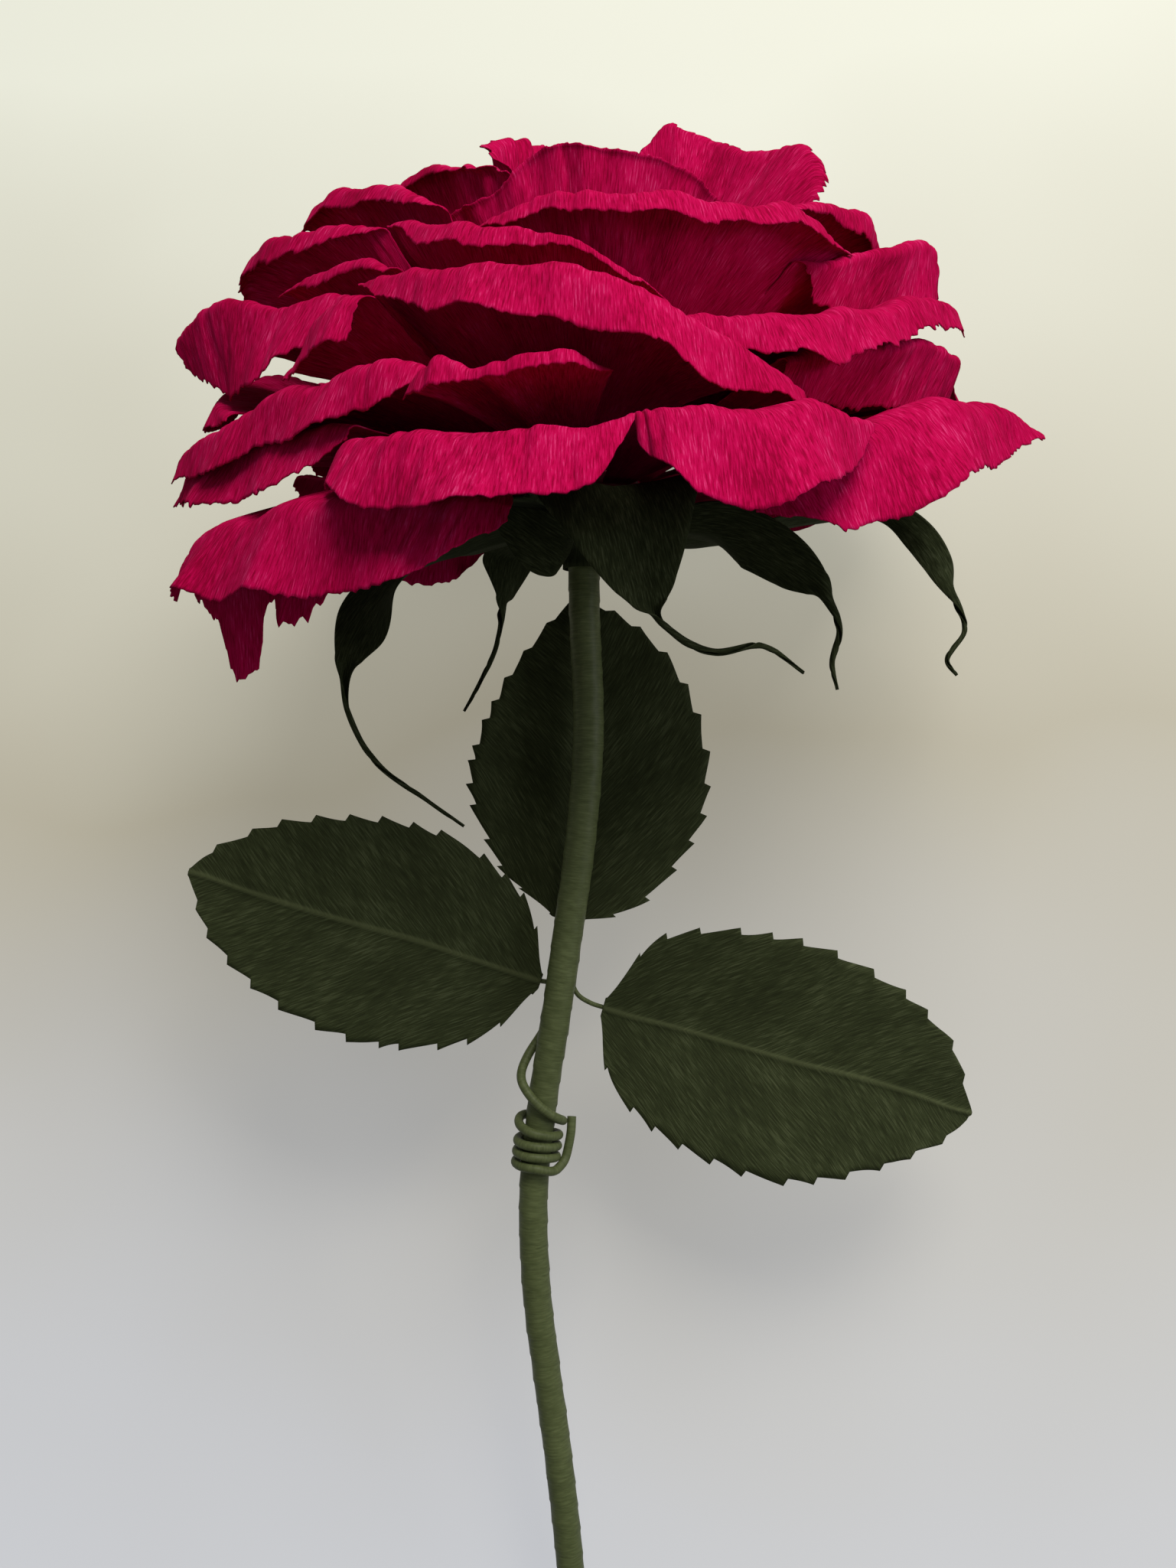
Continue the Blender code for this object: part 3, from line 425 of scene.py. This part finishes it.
def torn_edge(u, hang, seed, tatter):
    """How far the torn rim stands out at each place along it: long waves, leaning tears and fuzz."""
    tears = u / TEAR_EVERY + uneven(u, 0.0, TEAR_LEAN, seed + 0.6)
    torn = uneven(u, 0.0, EDGE_WAVES, seed + 0.3) + TEAR_DEPTH * (tears % 1.0) ** 2
    torn = torn + uneven(u, 0.0, EDGE_FUZZ, seed + 0.8)
    return np.maximum(tatter * torn * np.minimum(1, hang / FULL_TEAR), LEAST_EDGE - hang)


def handled(grid, u, v, to_rim, width, seed, tatter, pleat):
    """The petal's points with the dents, folds, pleat and ragged sides of the real sheet."""
    normal = unit(np.cross(np.gradient(grid, axis=0), np.gradient(grid, axis=1)))
    grow = np.clip(v / CUPPED_BY, 0, 1) ** 1.3
    near_rim = np.clip(v / to_rim / 0.45 - 1.2, 0, 1)
    wander = u + uneven(u, v, FOLD_WANDER, seed + 0.2)
    raised = grow * (uneven(u, v, DENTS, seed) + uneven(u, v, PUCKERS, seed + 0.5))
    raised = raised + near_rim * (abs(uneven(wander, v, FOLDS, seed + 0.4)) - FOLD_SINK
                                  + uneven(wander, v, CRINKLES, seed + 0.7))
    past = u - pleat[0] * width
    hangs = np.clip((v - to_rim) / PLEAT_RISE + 0.6, 0, 1)
    raised = raised + pleat[1] * hangs * np.exp(-np.maximum(past, 0) / PLEAT_REACH) / (1 + np.exp(-past / PLEAT_EDGE))
    grid = grid - normal * raised[..., None]
    sides = np.exp(-u / SIDE_REACH) - np.exp((u - width) / SIDE_REACH)
    ragged = uneven(v, 0.0, SIDE_WAVES, seed + 1.1) + uneven(v, 0.0, SIDE_FUZZ, seed + 1.3)
    return grid + unit(np.gradient(grid, axis=0)) * (RAGGED * tatter * grow * sides * ragged)[..., None]


def petal(layer, rim, seed, column, tatter=1.0, roll=(ROLL_WIDEST, ROLL_TO, ROLL_TO), pleat=(0.5, 0.0)):
    """Points of one petal, [across][foot to free edge], and its grain map: arcs up to the rim, and the paper that
    hangs beyond it. A roll is its radius and its final slopes left and right; a pleat is its place and depth."""
    rim = np.array([(a * DEGREE, r, z, h) for a, r, z, h in rim])
    coarse = curve(rim, np.linspace(0, 1, RIM_POINTS))
    coarse = round_bulb(np.radians(coarse[:, 0] / DEGREE), coarse[:, 1], coarse[:, 2])
    width = np.linalg.norm(np.diff(coarse, axis=0), axis=1).sum()
    across = int(np.clip(width / column, FEWEST_COLUMNS, MOST_COLUMNS))
    rim = curve(rim, np.linspace(0, 1, across + 1))
    azimuth, radius, height, hang = rim[:, 0] / DEGREE, rim[:, 1], rim[:, 2], np.maximum(rim[:, 3], LEAST_HANG)
    u = np.linspace(0, width, across + 1)
    ruffle = RUFFLE * np.sin(azimuth / RUFFLE_EVERY * 2 * math.pi + RUFFLE_SHIFT * layer)
    bend = np.minimum(np.clip(hang * ROLL_SHARE, ROLL_TIGHTEST, ROLL_WIDEST), roll[0])
    crest = 0.0
    for _ in range(3):
        out, up = radius - RING_RADIUS, height - crest - RING_HEIGHT
        reach, lift = np.hypot(out, up), np.degrees(np.arctan2(up, out))
        share = (reach - FOOT) / BEND_AT
        level = (lift - BEND_FLAT * share) / (1 + BEND_PER_DEGREE * share)
        turning = (BEND_FLAT + BEND_PER_DEGREE * level) / BEND_AT
        way = np.radians(lift) + np.arctan(reach * np.radians(turning))
        up_first = np.minimum(np.maximum(way, 0), hang / bend)
        crest = bend * (np.cos(way - up_first) - np.cos(way))
    foot_level = LAYER_FIRST + LAYER_STEP * layer
    middle = (azimuth[0] + azimuth[-1]) / 2
    over = int(np.clip(hang.max() / ROW, FEWEST_ROWS, FOOT_ROWS))
    grid = np.zeros((across + 1, FOOT_ROWS + over + 1, 3))
    v = np.zeros((across + 1, FOOT_ROWS + over + 1))

    def profile(distance, share):
        lean = foot_level + (level - foot_level) * share**0.8 + ruffle * share**3
        far = (distance - FOOT) / BEND_AT
        angle = np.radians(lean * (1 + BEND_PER_DEGREE * far) + BEND_FLAT * far)
        return RING_RADIUS + distance * np.cos(angle), RING_HEIGHT + distance * np.sin(angle)

    for j in range(FOOT_ROWS + 1):
        share = (j / FOOT_ROWS) ** 0.85
        r, z = profile(FOOT + (reach - FOOT) * share, share)
        turn = np.radians(middle + (azimuth - middle) * (FOOT_SHARE + (1 - FOOT_SHARE) * share**0.7))
        grid[:, j] = round_bulb(turn, r, z)
        v[:, j] = (reach - FOOT) * share
    before = profile(FOOT + (reach - FOOT) * 0.97, 0.97)
    way = np.arctan2(z - before[1], r - before[0])
    torn = torn_edge(u, hang, seed, tatter)
    roll_to = np.radians(np.interp(u, (0, width), roll[1:]) + ROLL_STRAY * rough(u / 26, 0.0, seed + 0.9))
    for j in range(1, over + 1):
        length = hang * j / over + torn * (j / over) ** 3
        turned = np.minimum(length / bend, way - roll_to)
        straight = length - turned * bend
        out = bend * (np.sin(way) - np.sin(way - turned)) + straight * np.cos(way - turned)
        up = bend * (np.cos(way - turned) - np.cos(way)) + straight * np.sin(way - turned)
        grid[:, FOOT_ROWS + j] = round_bulb(turn, r + out, z + up)
        v[:, FOOT_ROWS + j] = reach - FOOT + length
    u = np.broadcast_to(u[:, None], v.shape)
    grid = handled(grid, u, v, (reach - FOOT)[:, None], width, seed, tatter, pleat)
    return grid, np.stack([u, v], -1)


petal_paper = crepe_paper(
    "crimson crepe paper", [(0.55, "#85012C"), (0.68, "#A60340"), (0.80, "#B30A4C"), (0.94, "#C2356C")],
    spacing=0.55, length=7.0, relief=0.2, roughness=0.9, gloss=0.03, sheen=0.05, sheen_tint="#D8447A")
for number, (name, (layer, points)) in enumerate(SEEN_PETALS.items()):
    places, grain = petal(layer, rim_of(points), SEED_STEP * number, COLUMN, TATTERED.get(name, 1.0),
                          TIGHT_ROLLS.get(name, (ROLL_WIDEST, ROLL_TO, ROLL_TO)), PLEATS.get(name, (0.5, 0.0)))
    grid_piece(name, places, grain, petal_paper, PAPER)
for number, (name, (layer, points)) in enumerate(HIDDEN_PETALS.items()):
    places, grain = petal(layer, points, HIDDEN_SEED + SEED_STEP * number, HIDDEN_COLUMN)
    grid_piece(name, places, grain, petal_paper, PAPER)


# The calyx: a cup of dark green crepe paper glued round the bulb's underside, and five sepals glued on the cup, each
# cut wide at its root and twisted into a thin tail. A flap of the cup's own paper stands off below on the left.
CUP_BORE, CUP_FOOT, CUP_NECK = 7.2, 0.4, 9.0
BRIM_RADIUS, BRIM_DROP = 52.5, 5.7
CUP_OFF, NECK_OFF, CUP_WALL = 0.9, 1.2, 0.7  # how far the cup's outside stands off its bore, low and at its neck
CUP_POINTS, CUP_SIDES, BRIM_CRUMPLE = 40, 96, 3.0
CUP_ANGLES, BRIM_PAST = np.linspace(-100, -18, 20)[6:], 0.3  # degrees round the ring, from the neck to the brim
GRAIN_RADIUS = 22.0  # where the cup's grain map is true to size
SHEET = 0.8
ROOT_OFF = 2.1 * SHEET  # from the petals' feet to the sepals' roots, over the cup
SEPAL_PAPER = 0.5
SEPAL_ACROSS, SEPAL_ALONG, FLAP_ACROSS, FLAP_ALONG = 20, 170, 24, 60
SEPALS = {  # root: azimuth, angle round the ring, off the cup, half-width, twist; then as the leaves' rows
    "sepal_a": [(-75, -50, 0.6, 12, 0), (-46, 8, 6, 20, 0), (-76, -3, 4, 19, 25), (-91, -22, 0, 15, 62),
                (-99, -40, -2, 5, 80), (-100, -54, -2, 2.6, 95), (-94, -70, -4, 2.4, 120), (-83, -84, -6, 2, 180),
                (-66, -96, -6, 1.6, 250), (-50, -107, -6, 1, 300)],
    "sepal_b": [(-144, -40, 0.3, 10, 0), (-24, 8, -40, 14, 0), (-30, 2, -62, 14, 10), (-33, -14, -66, 5, 40),
                (-35, -24, -66, 2.2, 90), (-38, -36, -64, 2, 150), (-44, -48, -62, 1.6, 210), (-50, -59, -60, 1, 260)],
    "sepal_c": [(21, -41, 1.2, 6, 0), (9, 25, 54, 27, 0), (13, 35, 80, 32, 0), (20, 17, 92, 22, 0), (26, -6, 92, 11, 0),
                (30, -19, 90, 3, 20), (40, -28, 88, 2.6, 90), (54, -34, 84, 2.4, 160), (76, -32, 78, 2, 240),
                (92, -43, 74, 1, 320)],
    "sepal_d": [(75, -50, 0.7, 10, 0), (42, 16, 16, 14, 15), (64, 13, 36, 15, 50), (86, 2, 42, 12, 65),
                (101, -10, 44, 4, 80), (107, -24, 44, 2.4, 110), (104, -38, 44, 2, 170), (106, -50, 44, 1, 230)],
    "sepal_e": [(132, -45, 1.6, 5, 0), (56, 12, -24, 14, 0), (98, 21, -34, 12, 0), (126, 24, -38, 7, 20),
                (140, 14, -38, 7.5, 40), (150, 0, -38, 6, 70), (158, -18, -38, 2.6, 110), (159, -26, -38, 2.2, 170),
                (152, -38, -38, 2, 230), (156, -44, -38, 1, 280)],
}
CALYX_FLAP = [(-22, -85, 2.7, 5, 0), (-7, 6, 20, 9, 0), (-11, 8, 28, 12, 0), (-19, 13, 34, 12, 0), (-30, 20, 36, 7, 0),
              (-39, 26, 38, 1, 0)]
SEPAL_FOLD = 8.0  # degrees that each half of a sepal is folded up
TAIL_HALF, TAIL_CURL, TAIL_TURNS = 4.0, 140.0, 1.3  # where a tail starts, how far it curls, and its added turns
LEAST_HALF = 0.5
RIB_HALF, RIB_CROWDING = 1.3, 1.4  # a rib's half-width, and how much closer points stand to it
TOOTH_STRAY = 0.35  # share of a tooth's length that a tooth strays
CRUMPLE_EVERY, SEPAL_CRUMPLE, FLAP_CRUMPLE = 14.0, 0.9, 0.7


def placed(rows):
    """Rows of the leaves' table with their seen places made real."""
    return [(*seen(*row[:3]), *row[3:]) for row in rows]


def rooted(rows):
    """Rows of the sepals' table with their places made real, and the root just off the cup."""
    azimuth, angle, off, *rest = rows[0]
    distance, angle, turn = FOOT + ROOT_OFF + off, math.radians(angle), math.radians(azimuth)
    radius = RING_RADIUS + distance * math.cos(angle)
    return [(radius * math.sin(turn), -radius * math.cos(turn), RING_HEIGHT + distance * math.sin(angle), *rest),
            *placed(rows[1:])]


def ribbon(rows, side, across, along, fold=0.0, teeth=0, depth=0.0, tail=0.0, rib=0.0):
    """Points of a strip that follows the rows, [across][along], with its lengths along and across in millimetres. A
    tail curls its edges in and twists further where the strip is narrow. A rib stands up along the middle."""
    at = np.linspace(0, 1, along + 1)
    rows = curve(rows, at)
    spine, half, twist = rows[:, :3], np.maximum(rows[:, 3], LEAST_HALF), np.radians(rows[:, 4])
    way = unit(np.gradient(spine, axis=0))
    flat = unit(side - (way @ side)[:, None] * way)
    up = np.cross(flat, way)
    thin = tail * np.clip((TAIL_HALF * 1.6 - half) / TAIL_HALF, 0, 1)
    twist = twist + np.cumsum(thin) / max(thin.sum(), 1) * math.radians(360 * TAIL_TURNS) * (thin.sum() > 0)
    flat, up = (
        flat * np.cos(twist)[:, None] + up * np.sin(twist)[:, None],
        up * np.cos(twist)[:, None] - flat * np.sin(twist)[:, None],
    )
    length = np.concatenate([[0], np.cumsum(np.linalg.norm(np.diff(spine, axis=0), axis=1))])
    share = np.linspace(-1, 1, across + 1)[:, None]
    share = np.sign(share) * abs(share) ** (RIB_CROWDING if rib else 1)
    half = np.broadcast_to(half, (across + 1, along + 1))
    if teeth:
        bite = at * teeth + TOOTH_STRAY * rough(at * teeth * 0.8, 2.3 * np.sign(share), spine[0, 0])
        half = np.maximum(half + depth * ((bite % 1.0) ** 1.5 - 0.5) * np.minimum(1, half / 12), LEAST_HALF)
    curl = np.radians(TAIL_CURL) * thin[None]
    safe = np.maximum(curl, 1e-3)
    reach = half * np.sin(share * safe) / safe
    rise = half * (1 - np.cos(share * safe)) / safe + abs(half * share) * math.tan(math.radians(fold))
    rise = rise - rise.mean(0) * thin - rib * np.exp(-(reach / RIB_HALF) ** 2)
    places = spine[None] + reach[..., None] * flat[None] + rise[..., None] * up[None]
    return places, np.broadcast_to(length[None], reach.shape), half * share


def crumpled(places, u, v, seed, size, depth):
    """The same points with the soft crumples of handled paper."""
    normal = unit(np.cross(np.gradient(places, axis=0), np.gradient(places, axis=1)))
    return places + normal * (depth * rough(u / size, v / size, seed))[..., None]


calyx_paper = crepe_paper(
    "dark green crepe paper", [(0.55, "#1C2111"), (0.72, "#2A301C"), (0.94, "#434934")],
    spacing=0.6, length=6.0, relief=0.2, roughness=0.9, gloss=0.08, sheen=0.04, sheen_tint="#8C9A78")
cup_profile = [(CUP_BORE + CUP_OFF, CUP_FOOT), (CUP_BORE + NECK_OFF, CUP_NECK - 1)]
for angle in np.radians(CUP_ANGLES):
    cup_profile.append((RING_RADIUS + (FOOT + SHEET) * math.cos(angle), RING_HEIGHT + (FOOT + SHEET) * math.sin(angle)))
cup_profile.append((BRIM_RADIUS, RING_HEIGHT - BRIM_DROP - BRIM_PAST))
cup_profile = curve([(r, 0, z) for r, z in cup_profile], np.linspace(0, 1, CUP_POINTS))
turn = np.linspace(0, 2 * math.pi, CUP_SIDES + 1)[:, None]
spread = np.clip(cup_profile[:, 0] / BRIM_RADIUS, 0, 1) ** 4
cup_radius = cup_profile[:, 0] + BRIM_CRUMPLE * spread * rough(3 * np.cos(turn), 3 * np.sin(turn), 50.5)
cup = np.stack(np.broadcast_arrays(
    cup_radius * np.cos(turn), cup_radius * np.sin(turn), cup_profile[:, 2]), -1)
cup_grain = np.stack(np.broadcast_arrays(turn * GRAIN_RADIUS, cup_profile[:, 2]), -1)
grid_piece("calyx_cup", cup, cup_grain, calyx_paper, CUP_WALL, -1, closed=True)
for number, (name, rows) in enumerate(SEPALS.items()):
    rows = rooted(rows)
    side = unit(np.cross(np.subtract(rows[2][:3], rows[0][:3]) * (1, 1, 0), (0, 0, 1)))
    places, v, u = ribbon(rows, side, SEPAL_ACROSS, SEPAL_ALONG, SEPAL_FOLD, tail=1.0)
    places = crumpled(places, u, v, 60.3 + number, CRUMPLE_EVERY, SEPAL_CRUMPLE * np.minimum(1, abs(u).max(0) / 12))
    grid_piece(name, places, np.stack([u, v], -1), calyx_paper, SEPAL_PAPER)
rows = rooted(CALYX_FLAP)
flap_side = unit(np.cross(np.subtract(rows[4][:3], rows[0][:3]), (0, 1, 0.3)))
places, v, u = ribbon(rows, flap_side, FLAP_ACROSS, FLAP_ALONG, SEPAL_FOLD)
places = crumpled(places, u, v, 71.9, CRUMPLE_EVERY, FLAP_CRUMPLE)
grid_piece("calyx_flap", places, np.stack([u, v], -1), calyx_paper, SEPAL_PAPER)


# The leaves: two halves of green crepe paper, cut with opposite grain and glued together over a paper-wrapped wire
# that makes the midrib. Their edges are cut into teeth that point to the tip. The three wires join in one stalk, and
# it is wound round the stem as a knot.
LEAVES = {  # root to tip: right, height, towards the viewer, half-width, twist in degrees
    "leaf_top": [(-9, -146, -11, 4, 0), (-6, -136, -12, 26, 0), (-2, -118, -14, 41, 0), (1, -98, -16, 50, 0),
                 (3, -78, -16, 50, 0), (3, -56, -15, 43, 0), (1, -36, -13, 31, 0), (-2, -20, -11, 14, 0),
                 (-4, -12, -10, 1, 0)],
    "leaf_left": [(-18, -172, -10, 3, 0), (-30, -168, -9, 26, 0), (-48, -162, -6, 39, 0), (-72, -154, -2, 46, 0),
                  (-98, -147, 2, 45, 0), (-122, -140, 5, 38, 0), (-144, -133, 6, 26, 0), (-158, -128, 6, 12, 0),
                  (-165, -126, 6, 1, 0)],
    "leaf_right": [(8, -183, -8, 4, 0), (18, -186, -7, 28, 0), (38, -191, -4, 42, 0), (62, -198, 0, 48, 0),
                   (90, -206, 3, 49, 0), (115, -212, 4, 42, 0), (138, -219, 3, 30, 0), (154, -225, 1, 14, 0),
                   (162, -227, 0, 1, 0)],
}
LEAF_TEETH, TOOTH_DEPTH, LEAF_FOLD, LEAF_PAPER, GRAIN_ANGLE = 13, 3.2, -6.0, 0.6, 37.0
LEAF_RIB, LEAF_CRUMPLE, LEAF_CRUMPLE_EVERY = 0.9, 0.9, 15.0
LEAF_ACROSS, TOOTH_ROWS = 40, 13
WIRE_RADIUS, WIRE_TIP, WIRE_GAP, STALK_RADIUS = 1.1, 0.6, 0.4, 1.9
WIRE_POINTS, WIRE_SIDES, STALK_POINTS, STALK_SIDES = 90, 12, 700, 16
WIRE_ROOTS = {  # right, away from the viewer, height
    "top": [(-9.8, 12.2, -176), (-9.8, 12.2, -166), (-9.4, 12.6, -156)],
    "left": [(-13.9, 9.3, -181), (-14.0, 9.5, -177), (-15.4, 10.9, -174)],
    "right": [(-5.2, 9.4, -168), (-4.9, 9.2, -174), (-2.4, 9.0, -179), (3.0, 9.2, -182.5)],
}
STALK_AROUND = [  # degrees from behind, turning by the left; height; distance from the stem's surface
    (-6, -166, 2.6), (0, -182, 2.4), (30, -194, 2.4), (70, -204, 3.6), (110, -212, 4.6), (150, -219, 3.0),
    (200, -225, 2.4), (250, -229, 3.2), (300, -231, 3.4), (360, -230, 2.6), (420, -229, 3.0), (480, -231.5, 2.6),
    (540, -234, 2.4), (630, -236, 2.4), (720, -237, 2.4), (810, -238, 2.4), (900, -239, 2.4), (990, -240.5, 2.4),
    (1080, -241.5, 2.4), (1170, -242.5, 2.4), (1260, -243.5, 2.4), (1350, -245, 2.4), (1440, -246, 2.4),
    (1530, -247, 2.4), (1620, -248, 2.6), (1690, -249, 4.2), (1712, -244, 6.6), (1716, -236, 7.4), (1722, -229, 7.2),
]
leaf_paper = crepe_paper(
    "leaf green crepe paper", [(0.55, "#242915"), (0.72, "#2F361E"), (0.92, "#474E34")],
    spacing=0.5, length=9.0, relief=0.2, roughness=0.8, gloss=0.12, sheen=0.05, sheen_tint="#9AA488")
slant = math.radians(GRAIN_ANGLE)
# The paper is paler in a narrow line along the midrib, where the wire lies under it.
grain = add_node(leaf_paper, "ShaderNodeUVMap", uv_map="Grain").outputs["UV"]
off_rib = add_node(leaf_paper, "ShaderNodeVectorMath", {
    0: grain, 1: (-math.cos(slant), math.sin(slant), 0)}, operation="DOT_PRODUCT")
on_rib = add_node(leaf_paper, "ShaderNodeMapRange", {
    "Value": off_rib.outputs["Value"], "From Min": 0.5, "From Max": 1.5, "To Min": 0.45, "To Max": 0.0})
shader = leaf_paper.node_tree.nodes["Principled BSDF"]
paler_midrib = add_node(leaf_paper, "ShaderNodeMixRGB", {
    "Fac": on_rib.outputs["Result"], "Color1": shader.inputs["Base Color"].links[0].from_socket,
    "Color2": colour("#535A3C")})
leaf_paper.node_tree.links.new(paler_midrib.outputs["Color"], shader.inputs["Base Color"])
for number, (name, rows) in enumerate(LEAVES.items()):
    rows = placed(rows)
    side = unit(np.cross(np.subtract(rows[-1][:3], rows[0][:3]), (0, 1, 0)))
    places, length, reach = ribbon(rows, side, LEAF_ACROSS, TOOTH_ROWS * LEAF_TEETH, LEAF_FOLD, LEAF_TEETH, TOOTH_DEPTH,
                                   rib=LEAF_RIB)
    across = length * math.sin(slant) - abs(reach) * math.cos(slant)
    down = length * math.cos(slant) + abs(reach) * math.sin(slant)
    places = crumpled(places, across, down * 0.25, 80.3 + number, LEAF_CRUMPLE_EVERY, LEAF_CRUMPLE)
    grid_piece(name, places, np.stack([across, down], -1), leaf_paper, LEAF_PAPER)

behind = np.array([0, SHEET / 2 + WIRE_GAP + WIRE_RADIUS, 0])
for name, root in WIRE_ROOTS.items():
    rib = [tuple(row[:3] + behind) for row in placed(LEAVES["leaf_" + name][:7])]
    path = curve(root + rib, np.linspace(0, 1, WIRE_POINTS))
    places, grain = round_path(path, np.linspace(WIRE_RADIUS, WIRE_TIP, WIRE_POINTS), WIRE_SIDES)
    grid_piece("wire_" + name, places, grain, stem_paper, closed=True)
winding = []
for angle, height, off in curve(STALK_AROUND, np.linspace(0, 1, STALK_POINTS)):
    centre = np.interp(height, line[::-1, 2], line[::-1, 0])
    wide = np.interp(height, (line[-1, 2], line[0, 2]), (STEM_FOOT_RADIUS, STEM_TOP_RADIUS)) + off
    turn = math.radians(angle)
    winding.append((centre - wide * math.sin(turn), wide * math.cos(turn), height))
places, grain = round_path(winding, STALK_RADIUS, STALK_SIDES)
grid_piece("leaf_stalk", places, grain, stem_paper, closed=True)


# The camera stands where the photograph's did, turned with the rose as it was laid down.
LENS_PIXELS, IMAGE_HEIGHT, SENSOR = 1750.0, 2049.0, 36.0
lens = bpy.data.cameras.new("camera")
lens.sensor_fit, lens.sensor_height = "VERTICAL", SENSOR
lens.lens = SENSOR * LENS_PIXELS / IMAGE_HEIGHT
lens.clip_start, lens.clip_end = 0.02, 20
camera = bpy.data.objects.new("camera", lens)
bpy.context.scene.collection.objects.link(camera)
turned = laid.to_3x3().to_4x4() @ Matrix.Rotation(math.pi / 2, 4, "X")
camera.matrix_world = Matrix.Translation((laid @ Vector(EYE)) * MM) @ turned
bpy.context.scene.camera = camera

# A floor of pale warm paper under the rose, a soft lamp above the flower on the right, and a fill. The floor is
# darker for the light it throws back than for the eye, so the petals' undersides stay deep. For the eye and in
# reflections it glows with painted light and shade: warm white at the top, a grey band and bluish white at the bottom.
FLOOR_SIZE, FLOOR_GLOW, ROOM_LIGHT = 8.0, 0.6, 0.26
GLOW_SLOPE, GLOW_START, GLOW_DRIFT = 0.75, 0.4, 0.2  # the painted light's change a metre towards the top of the view, its start, its clouds
bpy.ops.object.select_all(action="DESELECT")
bpy.ops.mesh.primitive_plane_add(size=FLOOR_SIZE)
floor = bpy.context.object
floor.name = "floor"
floor_paper, shader = new_material("pale paper")
place = add_node(floor_paper, "ShaderNodeTexCoord").outputs["Object"]
cloudy = add_node(floor_paper, "ShaderNodeTexNoise", {"Vector": place, "Scale": 3.0, "Detail": 2})
split = add_node(floor_paper, "ShaderNodeSeparateXYZ", {"Vector": place})
height = add_node(floor_paper, "ShaderNodeMath", {
    0: split.outputs["Y"], 1: GLOW_SLOPE, 2: GLOW_START}, operation="MULTIPLY_ADD")
drift = add_node(floor_paper, "ShaderNodeMath", {
    0: cloudy.outputs["Fac"], 1: GLOW_DRIFT, 2: height.outputs["Value"]}, operation="MULTIPLY_ADD")
# Painted light and shade on the floor: the glow's colour runs from bluish white at the bottom through a grey band to
# warm white at the top.
painted_glow = add_node(floor_paper, "ShaderNodeValToRGB", {"Fac": drift.outputs["Value"]})
ramp(painted_glow, [(0.14, "#E6EEFF"), (0.36, "#D4D8E2"), (0.60, "#B4AE9A"), (0.90, "#F8FCEE")])
ray = add_node(floor_paper, "ShaderNodeLightPath")
mirrored = add_node(floor_paper, "ShaderNodeMath", {
    0: ray.outputs["Is Glossy Ray"], 1: ray.outputs["Is Transmission Ray"]}, operation="MAXIMUM")
looked_at = add_node(floor_paper, "ShaderNodeMath", {
    0: ray.outputs["Is Camera Ray"], 1: mirrored.outputs["Value"]}, operation="MAXIMUM")
paper = add_node(floor_paper, "ShaderNodeMixRGB", {
    "Fac": looked_at.outputs["Value"], "Color1": colour("#57524A"), "Color2": colour("#8A887F")})
floor_paper.node_tree.links.new(paper.outputs["Color"], shader.inputs["Base Color"])
shine = add_node(floor_paper, "ShaderNodeMath", {
    0: looked_at.outputs["Value"], 1: FLOOR_GLOW}, operation="MULTIPLY")
floor_paper.node_tree.links.new(painted_glow.outputs["Color"], shader.inputs["Emission Color"])
floor_paper.node_tree.links.new(shine.outputs["Value"], shader.inputs["Emission Strength"])
shader.inputs["Roughness"].default_value = 0.9
shader.inputs["Specular IOR Level"].default_value = 0.2
floor.data.materials.append(floor_paper)

LAMPS = {  # towards the lamp while the rose is upright; distance and size in metres; watts; colour
    "key": ((0.25, -0.84, 0.95), 1.5, 0.9, 25.0, "#FFFAF2"),
    "fill": ((1.0, -0.6, 0.1), 1.8, 0.5, 7.0, "#F6F6FA"),
}
LAMPS_AIM = Vector((0, 0.2, 0.1))
for name, (towards, distance, size, watts, code) in LAMPS.items():
    lamp = bpy.data.lights.new(name, "AREA")
    lamp.energy, lamp.size, lamp.color = watts, size, colour(code)[:3]
    holder = bpy.data.objects.new(name, lamp)
    bpy.context.scene.collection.objects.link(holder)
    way = laid.to_3x3() @ Vector(towards).normalized()
    holder.location = way * distance + LAMPS_AIM
    holder.rotation_euler = way.to_track_quat("Z", "Y").to_euler()
sky = bpy.data.worlds.new("room")
sky.use_nodes = True
sky.node_tree.nodes["Background"].inputs["Color"].default_value = colour("#F4F3EE")
sky.node_tree.nodes["Background"].inputs["Strength"].default_value = ROOM_LIGHT
bpy.context.scene.world = sky
bpy.context.scene.view_settings.view_transform = "Standard"
